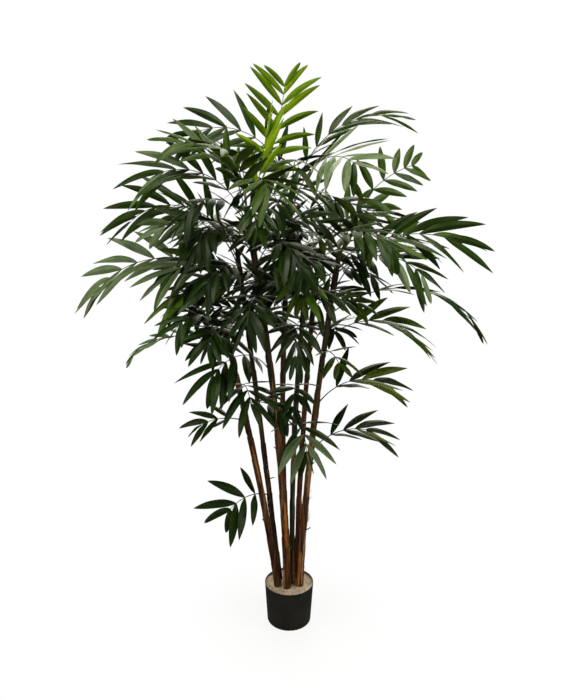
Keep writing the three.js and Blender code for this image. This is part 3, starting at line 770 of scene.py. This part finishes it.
def add_rib(shape, rib):
    path, side, up, half = rib_path(rib)
    path = np.vstack([path[0] + unit(path[0] - path[1]) * DRAWN_RIB.sunk, path])
    side, up, half = (np.concatenate([a[:1], a]) for a in (side, up, half))
    travelled = np.concatenate([[0], np.cumsum(np.linalg.norm(np.diff(path, axis=0), axis=1))])
    half = half * DRAWN_RIB.slim
    broad = 1 + DRAWN_RIB.foot_widening * (1 - smooth(0, DRAWN_RIB.foot_length, travelled))
    shape.add(*tube(path, half * broad, half * DRAWN_RIB.flat, DRAWN_RIB.sides, side, up))


# Bark

BARK = SimpleNamespace(sides=48, step=4.0, share=0.97, dome=24, dome_share=0.995, sunk=3, map_margin=0.01)
RIDGES = SimpleNamespace(
    orders=(2, 3, 5, 8, 11, 15, 19, 23), size=0.05, falling=0.45, drift=(0.6, 1.6), span=(120, 420),
    fading=0.4, beat=2.3, share=0.75,
)
WRAPS = SimpleNamespace(
    first=(60, 140), apart=(70, 170), below_tip=30, slant=(8, 34), size=(0.6, 1.3), thickness=1.6, edge=3,
    ragged=3, reach=(-150, -10),
)
RINGS = SimpleNamespace(
    first=(20, 60), apart=(45, 95), below_tip=20, height=0.3, width=4, tilt=1.5, groove=0.8, groove_at=7,
)


def bark_relief(cane, seed):
    """A rule for how far a cane's bark stands from its centre line: long ridges that wander, overlapping
    sheath layers with slanting upper edges, and shallow rings where leaves grew."""
    random = np.random.default_rng(seed)
    foot, tip = FILL.top + GAP, cane.tip[2]
    full = (0, 2 * np.pi)

    def drawn(*ranges):
        return random.uniform(*zip(*ranges))

    ridges = [
        (order, RIDGES.size / order**RIDGES.falling, *drawn(full, RIDGES.drift, RIDGES.span))
        for order in RIDGES.orders
    ]
    wraps = []
    height = foot + random.uniform(*WRAPS.first)
    while height < tip - WRAPS.below_tip:
        wraps.append((height, *drawn(full, WRAPS.slant, WRAPS.size)))
        height += random.uniform(*WRAPS.apart)
    rings = []
    height = foot + random.uniform(*RINGS.first)
    while height < tip - RINGS.below_tip:
        rings.append(height)
        height += random.uniform(*RINGS.apart)

    def radius_at(height, angle):
        q = np.clip((height - foot) / (tip - foot), 0, 1)
        flare = 1 + FLARE.widening * np.clip(1 - (height - foot) / FLARE.height, 0, 1)
        radius = lerp(cane.radius[0], cane.radius[1], q) * flare * BARK.share
        change = 0
        for order, size, phase, drift, span in ridges:
            wander = phase + drift * np.sin(height / span + phase * 3)
            fading = 1 - RIDGES.fading + RIDGES.fading * np.sin(height / span * RIDGES.beat + phase)
            change = change + size * np.cos(order * angle + wander) * fading
        radius = radius * (1 + RIDGES.share * change)
        for top, azimuth, slant, size in wraps:
            edge = top + slant * np.cos(angle - azimuth) + WRAPS.ragged * np.sin(5 * angle + azimuth)
            above = height - edge
            wrap = smooth(WRAPS.edge, -WRAPS.edge, above) * smooth(*WRAPS.reach, above)
            radius = radius + WRAPS.thickness * size * wrap
        for ring in rings:
            off = (height - ring - RINGS.tilt * np.sin(angle + ring)) / RINGS.width
            groove = np.exp(-((off - RINGS.groove_at / RINGS.width) ** 2))
            radius = radius + RINGS.height * (np.exp(-(off**2)) - RINGS.groove * groove)
        return radius

    return radius_at


def centre_line(cane, heights):
    return np.array([cane_at(cane, height)[0] for height in heights])[:, None]


def add_bark(shape, cane, radius_at):
    foot, tip = FILL.top - BARK.sunk, cane.tip[2]
    count = math.ceil((tip - foot) / BARK.step) + 1
    heights = np.linspace(foot, tip, count)
    high, angle = np.meshgrid(heights, turns(BARK.sides), indexing="ij")
    radius = radius_at(high, angle)
    radius *= np.sqrt(1 - np.clip((high - tip) / BARK.dome + 1, 0, BARK.dome_share) ** 2)
    points = centre_line(cane, heights) + radius[..., None] * outward(angle)
    u = np.arange(BARK.sides + 1) / BARK.sides
    margin = BARK.map_margin
    wall = grid_places(u, np.linspace(margin, 1 - margin, count))[grid_faces(count, BARK.sides + 1).ravel()]
    low_end, high_end = grid_places(u[:-1], [margin / 2, 1 - margin / 2]).reshape(2, -1, 2)
    places = np.concatenate([wall, low_end[::-1], high_end])
    shape.add(points.reshape(-1, 3), tube_faces(count, BARK.sides), places)


HUSK = SimpleNamespace(
    columns=7, row=7, fewest_rows=8, point=0.45, blunt=0.03, tears=0.18, tear_pitch=31, nicks=0.12,
    nick_pitch=57, edge=0.12, arch=0.6, sunk=1.2,
)


def add_husk(shape, cane, radius_at, low, high, azimuth, half_angle, lift, drift=0, rows=None):
    """A strip of fibre on the bark between two heights: edges ragged, ends pointed and its middle proud."""
    rows = rows or max(HUSK.fewest_rows, int((high - low) / HUSK.row))
    columns = HUSK.columns
    across = np.linspace(-1, 1, columns)
    share = np.linspace(0, 1, rows)
    heights = lerp(low, high, share)
    taper = lerp(HUSK.blunt, 1, (np.minimum(share, 1 - share) * 2) ** HUSK.point)
    ragged = 1 + HUSK.tears * np.sin(share * HUSK.tear_pitch + low)
    ragged += HUSK.nicks * np.sin(share * HUSK.nick_pitch + azimuth)
    middle = math.radians(azimuth) + math.radians(drift) * share
    angle = middle[:, None] + math.radians(half_angle) * (taper * ragged)[:, None] * across[None]
    bark = radius_at(np.repeat(heights[:, None], columns, 1), angle)
    proud = lift * (1 - across**2) ** HUSK.arch + HUSK.edge
    radius = np.hstack([bark + proud, (bark - HUSK.sunk)[:, ::-1]])
    points = centre_line(cane, heights) + radius[..., None] * outward(np.hstack([angle, angle[:, ::-1]]))
    ring = 2 * columns
    here = np.arange(columns - 1)
    start = np.stack([here + 1, here, ring - 1 - here, ring - 2 - here], 1)
    end = start[:, ::-1] + (rows - 1) * ring
    shape.add(points.reshape(-1, 3), [grid_faces(rows, ring, closed=True), start, end])


# Materials

class Nodes:
    """A new material and short ways to add nodes to it."""

    def __init__(self, name, roughness, **constants):
        self.material = bpy.data.materials.new(name)
        self.material.use_nodes = True
        self.tree = self.material.node_tree
        self.shader = self.tree.nodes["Principled BSDF"]
        self.shader.inputs["Roughness"].default_value = roughness
        for socket, value in constants.items():
            self.shader.inputs[socket.replace("_", " ")].default_value = value

    def add(self, kind, inputs, **settings):
        node = self.tree.nodes.new("ShaderNode" + kind)
        for name, value in settings.items():
            setattr(node, name, value)
        for socket, value in inputs.items():
            self.put(value, node.inputs[socket])
        return node

    def put(self, value, socket):
        if isinstance(value, bpy.types.NodeSocket):
            self.tree.links.new(value, socket)
        else:
            socket.default_value = value

    def place(self):
        """The place of a point in its object, in metres."""
        return self.add("TexCoord", {}).outputs["Object"]

    def maths(self, operation, a, b=0.0):
        return self.add("Math", {0: a, 1: b}, operation=operation).outputs[0]

    def noise(self, vector, scale, detail=3.0, rough=0.5):
        """Noise of one scale all ways, or of three."""
        if isinstance(scale, tuple):
            vector = self.add("Mapping", {"Vector": vector, "Scale": scale}).outputs[0]
            scale = 1.0
        inputs = {"Vector": vector, "Scale": scale, "Detail": detail, "Roughness": rough}
        return self.add("TexNoise", inputs).outputs["Fac"]

    def spread(self, value, low, high, new_low=0.0, new_high=1.0):
        inputs = {"Value": value, "From Min": low, "From Max": high, "To Min": new_low, "To Max": new_high}
        return self.add("MapRange", inputs, interpolation_type="SMOOTHSTEP").outputs[0]

    def mix(self, share, a, b):
        """A share of the way from one colour to another, each a socket or a code."""
        a, b = (colour(c) if isinstance(c, str) else c for c in (a, b))
        return self.add("Mix", {0: share, 6: a, 7: b}, data_type="RGBA").outputs[2]

    def bump(self, height, strength, distance):
        inputs = {"Height": height, "Strength": strength, "Distance": distance}
        self.put(self.add("Bump", inputs).outputs[0], self.shader.inputs["Normal"])

    def paint(self, value):
        self.put(value, self.shader.inputs["Base Color"])

    def roughen(self, value):
        self.put(value, self.shader.inputs["Roughness"])


LEAF_VEINS = 15


def leaf_material(name, dark, light, under):
    """A printed leaflet: fine parallel veins, a paler midrib and a duller underside, laid on the leaf map."""
    n = Nodes(name, 0.34, Specular_IOR_Level=0.12)
    place = n.add("UVMap", {}, uv_map=MAP).outputs[0]
    parts = n.add("SeparateXYZ", {"Vector": place}).outputs
    across = n.maths("FRACT", n.maths("MULTIPLY", parts[0], float(LEAF_MAP_COLUMNS)))
    off_middle = n.maths("ABSOLUTE", n.maths("SUBTRACT", across, 0.5))
    veins = n.maths("SINE", n.maths("MULTIPLY", across, 2 * math.pi * LEAF_VEINS))
    mottle = n.noise(place, (9, 5, 1), 4.0)
    share = n.spread(n.maths("ADD", mottle, n.maths("MULTIPLY", veins, 0.05)), 0.35, 0.68)
    midrib = n.spread(off_middle, 0.035, 0.012)
    green = n.mix(n.maths("MULTIPLY", midrib, 0.35), n.mix(share, dark, light), under)
    beneath = n.maths("GREATER_THAN", parts[1], 0.5)
    n.paint(n.mix(n.maths("MULTIPLY", beneath, 0.6), green, under))
    n.roughen(n.spread(mottle, 0.3, 0.7, 0.25, 0.37))
    n.bump(n.maths("ADD", n.maths("MULTIPLY", veins, 0.5), n.maths("MULTIPLY", midrib, 1.5)), 0.25, 0.0006)
    return n.material


def bark_material(name, deep, mid, pale, top):
    """Fibrous bark: streaks along the cane from deep to pale, and a greener tone towards the crown."""
    n = Nodes(name, 0.75, Specular_IOR_Level=0.35)
    place = n.place()
    streaks = n.noise(place, (190, 190, 5), 5.0, 0.6)
    fibres = n.noise(place, (620, 620, 16), 3.0, 0.6)
    patches = n.noise(place, (45, 45, 4.5), 2.0)
    light = n.maths("MULTIPLY", n.spread(patches, 0.52, 0.68), n.spread(fibres, 0.35, 0.65))
    tone = n.mix(n.maths("MULTIPLY", light, 0.8), n.mix(n.spread(streaks, 0.38, 0.62), deep, mid), pale)
    height = n.add("SeparateXYZ", {"Vector": place}).outputs[2]
    n.paint(n.mix(n.spread(height, 0.75, 1.35, 0.0, 0.75), tone, top))
    n.roughen(n.spread(fibres, 0.3, 0.7, 0.6, 0.85))
    n.bump(n.maths("ADD", fibres, n.maths("MULTIPLY", streaks, 1.5)), 0.7, 0.0012)
    return n.material


def fibre_material(name, deep, pale):
    """Torn sheath fibre, streaked along its length."""
    n = Nodes(name, 0.7, Specular_IOR_Level=0.3)
    streaks = n.noise(n.place(), (420, 420, 9), 4.0, 0.6)
    n.paint(n.mix(n.spread(streaks, 0.36, 0.64), deep, pale))
    n.bump(streaks, 0.6, 0.001)
    return n.material


def rib_material(name, deep, pale):
    """A smooth, faintly blotched stalk."""
    n = Nodes(name, 0.45, Specular_IOR_Level=0.45)
    place = n.place()
    n.paint(n.mix(n.spread(n.noise(place, 38.0), 0.35, 0.65), deep, pale))
    n.bump(n.noise(place, 420.0, 2.0), 0.15, 0.0008)
    return n.material


def pot_material():
    """Dark olive-black moulded plastic, faintly streaked round the wall and dusty here and there."""
    n = Nodes("pot_plastic", 0.4, Specular_IOR_Level=0.7)
    place = n.place()
    n.paint(n.mix(n.spread(n.noise(place, 14.0, 4.0), 0.35, 0.7), "1e1c16", "2a281f"))
    n.roughen(n.spread(n.noise(place, (6, 6, 60)), 0.3, 0.7, 0.4, 0.52))
    n.bump(n.noise(place, 900.0, 2.0), 0.12, 0.0004)
    return n.material


def fill_material():
    """Rough cement filling: beige grey with pinkish and mossy clouds and fine grit."""
    n = Nodes("cement", 0.92, Specular_IOR_Level=0.25)
    place = n.place()
    clouds = n.noise(place, 26.0, 4.0, 0.6)
    grit = n.noise(place, 420.0, 3.0, 0.7)
    tone = n.mix(n.spread(clouds, 0.36, 0.64), "c2ac96", "e4d3c0")
    tone = n.mix(n.spread(n.noise(place, (17, 17, 17)), 0.5, 0.7, 0.0, 0.6), tone, "c5c19a")
    n.paint(n.mix(n.spread(grit, 0.6, 0.75, 0.0, 0.6), tone, "86705a"))
    n.bump(n.maths("ADD", grit, n.maths("MULTIPLY", clouds, 0.6)), 0.8, 0.002)
    return n.material


def crumb_material(name, tone, darker):
    n = Nodes(name, 0.8, Specular_IOR_Level=0.3)
    n.paint(n.mix(n.spread(n.noise(n.place(), 300.0, 2.0), 0.35, 0.65), darker, tone))
    return n.material


# Foliage

# Leaf tones: the darker and lighter colour of the upper face, and the underside.
LEAF_TONES = {
    "young_bright": ("72a004", "a4be1a", "98ae2c"),
    "young": ("527608", "76921a", "7a8e2c"),
    # A painted sheen: leaflets made pale where they would catch the top light.
    "grown_pale": ("506240", "6c805a", "74866a"),
    # A fresher green, and also painted light on the brightened and lit fronds.
    "grown_fresh": ("38540c", "526e1c", "60762c"),
    "grown": ("2b4110", "405818", "4d6026"),
    "grown_deep": ("1d300a", "2c4211", "3a4b1a"),
    # Painted light: old leaflets brightened where the lamps leave them dim.
    "old_fresh": ("485c14", "6c7e24", "66763c"),
    "old": ("172a0a", "273d12", "2f4219"),
    "old_deep": ("111f08", "1d2f10", "253616"),
}
# What a frond's tone becomes, one or other of these, by itself or in its light.
TONES_OF = {
    "young": ("young_bright", "young_bright", "young"),
    "grown": ("grown_fresh", "grown", "grown", "grown_deep"),
    "old": ("grown_deep", "old", "old", "old_deep"),
    # Tones by a frond's light: the deepest as painted shade, pale ones as a painted sheen, and brighter ones
    # as painted light.
    "shaded grown": ("grown_deep",),
    "shaded old": ("old_deep",),
    "pale": ("grown_pale", "grown_pale", "grown_deep"),
    "fresh grown": ("grown_fresh",),
    "fresh old": ("old_fresh", "old_fresh", "old"),
    "lit": ("grown", "grown_fresh", "grown_pale"),
}
# The share of a frond's leaflets that surely have its main tone, and, on a frond with a painted pale sheen,
# the share of its rib where the sheen starts; leaflets before it have the deepest tone.
MAIN_SHARE = 0.72
PALE_FROM = 0.28
RIB_TONES = {"young": ("4a6a22", "6f8f35"), "grown": ("1d2a18", "33422a")}


def make_foliage(grown):
    """The leaflets, dealt out by tone, and the ribs. A piece replaces the fronds that it has a share of."""
    blades = {tone: Shape() for tone in LEAF_TONES}
    ribs = {kind: Shape() for kind in RIB_TONES}
    owners = {id(shape): set() for shape in (*blades.values(), *ribs.values())}
    for seed, frond in enumerate(grown, 1000):
        random = np.random.default_rng(seed)
        # A frond's light picks tones that paint shade, a sheen or light into its leaflets.
        light = LIGHT.get(frond.name, "")
        kinds = TONES_OF.get(light) or TONES_OF[f"{light} {frond.tone}".strip()]
        tone = kinds[random.integers(len(kinds))]
        shapes = []
        for leaf in frond.leaves:
            shade = tone if random.random() < MAIN_SHARE else kinds[random.integers(len(kinds))]
            # On a frond with a painted pale sheen, the leaflets nearest the stalk have no sheen and take the
            # deepest tone.
            if light == "pale" and leaf.share < PALE_FROM:
                shade = kinds[-1]
            column = random.integers(LEAF_MAP_COLUMNS)
            axis = frond.rib.stations[frond.rib.starts[leaf.pair]].forward
            drawn = drawn_leaf(leaf, axis, *DRAWN.get(frond.name, ()))
            faces, places = LEAF_SIDES[leaf.side]
            places = (places + (column, 0)) / (LEAF_MAP_COLUMNS, 1)
            blades[shade].add(leaf_points(drawn, random), faces, places)
            shapes.append(blades[shade])
        shapes.append(ribs["young" if frond.tone == "young" else "grown"])
        add_rib(shapes[-1], frond.rib)
        for shape in shapes:
            owners[id(shape)].add(frond.name)
    for name, shapes, tones, make in (
        ("leaf", blades, LEAF_TONES, leaf_material), ("rib", ribs, RIB_TONES, rib_material)
    ):
        for tone, shape in shapes.items():
            replaced = sorted(owners[id(shape)] & set(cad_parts))
            piece = ("leaflets_" if name == "leaf" else "ribs_") + tone
            slot = "leaf_" + tone.split("_")[0]
            shape.piece(piece, make(f"{name}_{tone}", *tones[tone]), slot, replaced, sharp=50)


# Canes

# Bark colours of each cane: deep, mid, pale and towards the crown.
BARKS = {
    "left_outer": ("2c190f", "6e4426", "bd8550", "3c4026"),
    "left_inner": ("1f130c", "4e3622", "8c6a44", "2c3520"),
    "middle_front": ("2c180e", "724726", "c58a4a", "444524"),
    "middle_back": ("2a170e", "6a4124", "a8754a", "3b3f24"),
    "centre": ("272813", "54522b", "94824c", "334226"),
    "right_back": ("33180e", "743d22", "b27546", "363822"),
    "right_outer": ("34200f", "7c5230", "cc9a62", "434a2c"),
}

# Strips of torn fibre: cane, heights, azimuth, half angle, lift, drift and kind.
HUSKS = [
    ("middle_front", 345, 545, 286, 34, 0.8, 10, "orange"),
    ("middle_front", 880, 1060, 286, 16, 0.5, -14, "gold"),
    ("middle_front", 168, 300, 218, 14, 0.7, 8, "tan"),
    ("left_outer", 620, 790, 296, 20, 0.6, -20, "orange"),
    ("left_outer", 180, 420, 196, 14, 0.5, 12, "tan"),
    ("right_outer", 560, 790, 296, 38, 0.6, -12, "tan"),
    ("right_outer", 170, 330, 248, 24, 0.6, 8, "orange"),
    ("right_outer", 175, 420, 296, 18, 0.6, 10, "pink"),
    ("right_outer", 300, 520, 330, 16, 0.5, 14, "tan"),
    ("centre", 168, 330, 300, 30, 0.6, 6, "orange"),
    ("right_back", 860, 1000, 275, 24, 0.5, 0, "red"),
    ("right_back", 380, 620, 255, 18, 0.5, 0, "red"),
]
FIBRES = {
    "tan": ("8f6236", "cc9c66"),
    "gold": ("84692f", "bfa052"),
    "orange": ("96541c", "d8883c"),
    "pink": ("9a6a52", "d6ac94"),
    "red": ("501f12", "8a4026"),
}
# Strips given to each cane by chance, most of them on the side that isn't seen in the photo.
SPARE = SimpleNamespace(
    count=5, lowest=180, below_tip=420, length=(60, 190), kinds=("tan", "gold", "red", "orange"),
    azimuth=(-20, 200), half_angle=(8, 22), lift=0.5, drift=10,
)
# The sheath below each frond: how far it starts below the stalk and ends above it, and its form.
SHEATH = SimpleNamespace(below=(55, 95), above=9, half_angle=62, lift=1.5, rows=16)


def make_canes():
    """The bark and its strips of fibre. Returns each cane's relief."""
    husks = {kind: Shape() for kind in FIBRES}
    reliefs = {}
    for seed, (name, cane) in enumerate(CANES.items(), 40):
        reliefs[name] = bark_relief(cane, seed)
        shape = Shape()
        add_bark(shape, cane, reliefs[name])
        shape.piece(f"{name}_bark", bark_material(f"bark_{name}", *BARKS[name]), "cane", [f"{name}_cane"], 70)
    for name, low, high, azimuth, half, lift, drift, kind in HUSKS:
        add_husk(husks[kind], CANES[name], reliefs[name], low, high, azimuth, half, lift, drift)
    random = np.random.default_rng(77)
    for name, cane in CANES.items():
        for _ in range(SPARE.count):
            low = random.uniform(SPARE.lowest, cane.tip[2] - SPARE.below_tip)
            high = low + random.uniform(*SPARE.length)
            kind = SPARE.kinds[random.integers(len(SPARE.kinds))]
            azimuth = random.uniform(*SPARE.azimuth)
            half = random.uniform(*SPARE.half_angle)
            add_husk(husks[kind], cane, reliefs[name], low, high, azimuth, half, SPARE.lift, SPARE.drift)
    for kind, shape in husks.items():
        shape.piece(f"husk_{kind}", fibre_material(f"fibre_{kind}", *FIBRES[kind]), "cane")
    return reliefs


def make_sheaths(grown, reliefs):
    """A sheath on the bark below each frond, from which its rib rises."""
    shape = Shape()
    for frond in grown:
        random = np.random.default_rng(int(frond.height) + int(frond.azimuth) * 7)
        low = frond.height - random.uniform(*SHEATH.below)
        form = (frond.azimuth, SHEATH.half_angle, SHEATH.lift)
        relief = reliefs[frond.cane.name]
        add_husk(shape, frond.cane, relief, low, frond.height + SHEATH.above, *form, rows=SHEATH.rows)
    shape.piece("sheaths", fibre_material("sheath", "211a10", "3f3a22"), "cane")


def on_bark(name, reliefs, height, azimuth, depth):
    """A point at a depth in a cane's bark, and the direction out of it."""
    turn = math.radians(azimuth)
    way = outward(turn)
    radius = reliefs[name](np.array(height), np.array(turn))
    return cane_at(CANES[name], height)[0] + way * (radius - depth), way


# Cut stubs of old stalks: cane, height, azimuth, rise and length.
STUBS = [
    ("right_outer", 415, 335, 40, 26),
    ("left_inner", 610, 340, 25, 24),
    ("middle_front", 250, 225, 60, 22),
    ("left_outer", 455, 170, 50, 16),
    ("middle_front", 760, 200, 45, 18),
    ("middle_back", 560, 300, 55, 20),
    ("right_back", 470, 30, 50, 22),
    ("centre", 520, 250, 45, 15),
    ("right_outer", 690, 20, 40, 18),
    ("left_outer", 560, 80, 45, 20),
    ("middle_back", 700, 100, 40, 22),
    ("right_back", 800, 120, 45, 18),
]
STUB = SimpleNamespace(sunk=3, foot=2.6, end=1.7, flat=0.8, sides=8, stations=7)


def make_stubs(reliefs):
    shape = Shape()
    share = np.linspace(0, 1, STUB.stations)
    for name, height, azimuth, rise, length in STUBS:
        start, way = on_bark(name, reliefs, height, azimuth, STUB.sunk)
        rising = math.radians(rise)
        path = start + np.outer(share * length, way * math.cos(rising) + UP * math.sin(rising))
        size = lerp(STUB.foot, STUB.end, share)
        shape.add(*tube(path, size, size * STUB.flat, STUB.sides))
    shape.piece("stalk_stubs", fibre_material("stub", "1c120c", "3c2a1b"), "cane")


# Tufts of pale torn fibre at sheath edges: cane, height, azimuth and how many fibres.
TUFTS = [
    ("right_outer", 450, 345, 26), ("right_outer", 560, 10, 10), ("left_inner", 640, 300, 9),
    ("middle_front", 330, 330, 8), ("middle_back", 640, 250, 8), ("left_outer", 500, 20, 8),
]
TUFT = SimpleNamespace(
    turn=24, reach=28, sunk=0.6, aside=0.5, length=(14, 38), rise=(0.5, 1.1), arch=0.45, sweep=0.6, foot=0.4,
    end=0.12, sides=4, stations=8,
)


def make_tufts(reliefs):
    shape = Shape()
    random = np.random.default_rng(9)
    share = np.linspace(0, 1, TUFT.stations)
    size = lerp(TUFT.foot, TUFT.end, share)
    for name, height, azimuth, count in TUFTS:
        for _ in range(count):
            turn = azimuth + random.uniform(-TUFT.turn, TUFT.turn)
            at = height + random.uniform(-TUFT.reach, TUFT.reach)
            start, way = on_bark(name, reliefs, at, turn, TUFT.sunk)
            aside = np.cross(UP, way) * random.uniform(-TUFT.aside, TUFT.aside)
            length = random.uniform(*TUFT.length)
            rise = UP * random.uniform(*TUFT.rise)
            sweep = way * TUFT.arch + aside * TUFT.sweep
            path = start + length * (np.outer(share, rise) + np.outer(share**2, sweep))
            shape.add(*tube(path, size, size, TUFT.sides))
    shape.piece("torn_fibres", fibre_material("torn_fibre", "b59a86", "e2d3c4"), "cane", sharp=80)


# Pot and filling

def rounded(corner, start, end, radius, steps=5):
    """Points of a round of a radius at a corner, between two directions that leave it."""
    a = corner + unit(start - corner) * radius
    b = corner + unit(end - corner) * radius
    return [a * (1 - s) ** 2 + corner * 2 * s * (1 - s) + b * s * s for s in np.linspace(0, 1, steps)]


def inside(height):
    """The radius of the pot's inner wall."""
    return lerp(POT.foot_radius - POT.foot_round, POT.rim_radius - POT.wall, height / POT.height)


def make_pot():
    """A plain tapered pot with a rounded foot, a slightly dished underside and a thin rounded rim."""
    rim, foot, ring = POT.rim_radius, POT.foot_radius, POT.foot_radius - POT.foot_ring
    corners = np.array([
        (0, POT.dish), (ring, POT.dish), (ring, 0), (foot, 0), (rim, POT.height),
        (rim - POT.wall, POT.height), (inside(POT.floor), POT.floor), (0, POT.floor),
    ])
    radii = (1, 1, POT.foot_round, POT.rim_round, POT.rim_round, POT.floor_round)
    profile = [
        point
        for before, corner, after, radius in zip(corners, corners[1:], corners[2:], radii)
        for point in rounded(corner, before, after, radius)
    ]
    around = outward(turns(POT.sides))
    points = np.concatenate([around * far + UP * height for far, height in profile])
    shape = Shape()
    shape.add(points, tube_faces(len(profile), POT.sides))
    shape.piece("pot_shell", pot_material(), "pot", ["pot"], sharp=35)


# The filling's top: its grid, how far it lies from the wall and below the solid's top, its waves, its rise
# at the wall and the heaps round the canes. Only its upper part is made, as deep as the skirt.
CEMENT = SimpleNamespace(
    rings=44, sides=144, margin=0.2, sunk=1.2, waves=60, pitch=(4, 34), wave=0.022, wave_power=0.75, rise=1.6,
    rise_width=9, heap=3.2, heap_width=7, heap_from=1.1, below_rim=2.5, skirt=40, skirt_share=0.98,
)


def make_fill():
    """The filling's uneven top, heaped a little round each cane and against the wall."""
    random = np.random.default_rng(5)
    edge = inside(FILL.top) - CEMENT.margin
    far = edge * np.arange(1, CEMENT.rings + 1) / CEMENT.rings
    far, turn = np.meshgrid(far, turns(CEMENT.sides), indexing="ij")
    x, y = far * np.cos(turn), far * np.sin(turn)
    height = np.full(x.shape, FILL.top - CEMENT.sunk)
    for _ in range(CEMENT.waves):
        way = random.uniform(0, 2 * np.pi)
        pitch = random.uniform(*CEMENT.pitch)
        wave = (x * math.cos(way) + y * math.sin(way)) / pitch + random.uniform(0, 2 * np.pi)
        height += CEMENT.wave * pitch**CEMENT.wave_power * np.sin(wave)
    height += CEMENT.rise * smooth(edge - CEMENT.rise_width, edge, far)
    for cane in CANES.values():
        near = np.hypot(x - cane.foot[0], y - cane.foot[1]) - cane.radius[0] * CEMENT.heap_from
        height += CEMENT.heap * np.exp(-np.clip(near, 0, None) / CEMENT.heap_width)
    height = np.minimum(height, POT.height - CEMENT.below_rim)
    top = np.stack([x, y, height], -1)
    skirt = top[-1] * CEMENT.skirt_share
    skirt[:, 2] = FILL.top - CEMENT.skirt
    faces = [block[:, ::-1] for block in tube_faces(CEMENT.rings + 1, CEMENT.sides)]
    shape = Shape()
    shape.add(np.vstack([top.reshape(-1, 3), skirt]), faces)
    shape.piece("cement_fill", fill_material(), "fill", ["fill"])


# A crumb's corners, one above, five round it and one below, and the kinds of crumb: tones and how many.
CRUMB = np.array([
    (0, 0, 1), (1, 0, 0.2), (0.3, 1, 0), (-0.8, 0.6, 0.1), (-0.8, -0.6, 0), (0.3, -1, 0.2), (0, 0, -1),
])
CRUMB_SIDES = [(k + 1, (k + 1) % 5 + 1) for k in range(5)]
CRUMB_FACES = [face for a, b in CRUMB_SIDES for face in ((0, a, b), (6, b, a))]
CRUMBS = {
    "pale_grit": ("b5a68e", "8d7e69", 120),
    "bark_chips": ("5c3220", "36180f", 90),
    "dark_grit": ("3a3226", "241d16", 50),
}
GRAIN = SimpleNamespace(
    margin=6, sunk=0.3, size=(0.9, 2.3), length=(0.8, 1.8), height=(0.4, 0.8), uneven=(0.8, 1.2),
)


def make_crumbs():
    """Grit and chips of bark lying on the filling."""
    random = np.random.default_rng(21)
    for kind, (tone, darker, count) in CRUMBS.items():
        shape = Shape()
        for _ in range(count):
            far = (inside(FILL.top) - GRAIN.margin) * math.sqrt(random.random())
            place = outward(random.uniform(0, 2 * np.pi)) * far + UP * (FILL.top - GRAIN.sunk)
            size = random.uniform(*GRAIN.size)
            size = size * np.array([random.uniform(*GRAIN.length), 1, random.uniform(*GRAIN.height)])
            way = outward(random.uniform(0, 2 * np.pi))
            body = CRUMB * size * random.uniform(*GRAIN.uneven, (len(CRUMB), 1))
            shape.add(place + body @ np.array([way, np.cross(UP, way), UP]), [CRUMB_FACES])
        shape.piece(kind, crumb_material(kind, tone, darker), "fill", sharp=30)


# Stage

# The studio's lamps: place and size in metres, and power in watts.
LAMPS = {
    "top_light": ((-0.1, -0.9, 6.0), 2.6, 262),
    "left_light": ((-3.1, -1.5, 2.4), 1.5, 54),
    "right_light": ((3.1, -1.2, 2.3), 1.5, 56),
    "back_light": ((0.3, 2.9, 2.6), 2.8, 90),
    "low_light": ((0.4, -2.6, 0.8), 0.8, 6),
}
LAMP_COLOUR = (1, 0.96, 0.82)
LAMP_AIM = Vector((0, 0, 1.3))
FLOOR = SimpleNamespace(radius=2.2, sides=96, tone=(0.9, 0.9, 0.9, 1), fade=(0.09, 0.5), strength=0.12)
# How strongly the white surroundings light the plant, where the camera sees them at full strength.
AMBIENT = 0.04


def make_stage():
    """A pale floor that fades out, soft light from above and the front, and the camera."""
    scene = bpy.context.scene

    def stand(name, data, place=(0, 0, 0)):
        thing = bpy.data.objects.new(name, data)
        thing.location = place
        scene.collection.objects.link(thing)
        return thing

    floor = bpy.data.meshes.new("floor")
    floor.from_pydata((outward(turns(FLOOR.sides)) * FLOOR.radius).tolist(), [], [range(FLOOR.sides)])
    stand("floor", floor)
    n = Nodes("floor", 0.9)
    n.paint(FLOOR.tone)
    far = n.add("VectorMath", {0: n.place()}, operation="LENGTH").outputs["Value"]
    n.put(n.spread(far, *FLOOR.fade, FLOOR.strength, 0.0), n.shader.inputs["Alpha"])
    floor.materials.append(n.material)

    world = bpy.data.worlds.new("studio")
    world.use_nodes = True
    tree = world.node_tree
    sky = tree.nodes["Background"]
    sky.inputs["Color"].default_value = (1, 1, 1, 1)
    path = tree.nodes.new("ShaderNodeLightPath")
    strength = tree.nodes.new("ShaderNodeMapRange")
    strength.inputs["To Min"].default_value = AMBIENT
    strength.inputs["To Max"].default_value = 1.0
    tree.links.new(path.outputs["Is Camera Ray"], strength.inputs["Value"])
    tree.links.new(strength.outputs[0], sky.inputs["Strength"])
    scene.world = world

    for name, (place, size, power) in LAMPS.items():
        data = bpy.data.lights.new(name, "AREA")
        data.shape, data.size, data.energy, data.color = "SQUARE", size, power, LAMP_COLOUR
        lamp = stand(name, data, place)
        lamp.visible_camera = False
        lamp.rotation_mode = "QUATERNION"
        lamp.rotation_quaternion = (LAMP_AIM - Vector(place)).to_track_quat("-Z", "Y")

    data = bpy.data.cameras.new("camera")
    data.lens = CAMERA.lens
    scene.camera = stand("camera", data, CAMERA.place)
    scene.camera.rotation_euler = (math.radians(90 - CAMERA.down), 0, 0)
    scene.view_settings.view_transform = "Standard"


make_stage()
palm = grow()
make_foliage(palm)
bark = make_canes()
make_sheaths(palm, bark)
make_stubs(bark)
make_tufts(bark)
make_pot()
make_fill()
make_crumbs()
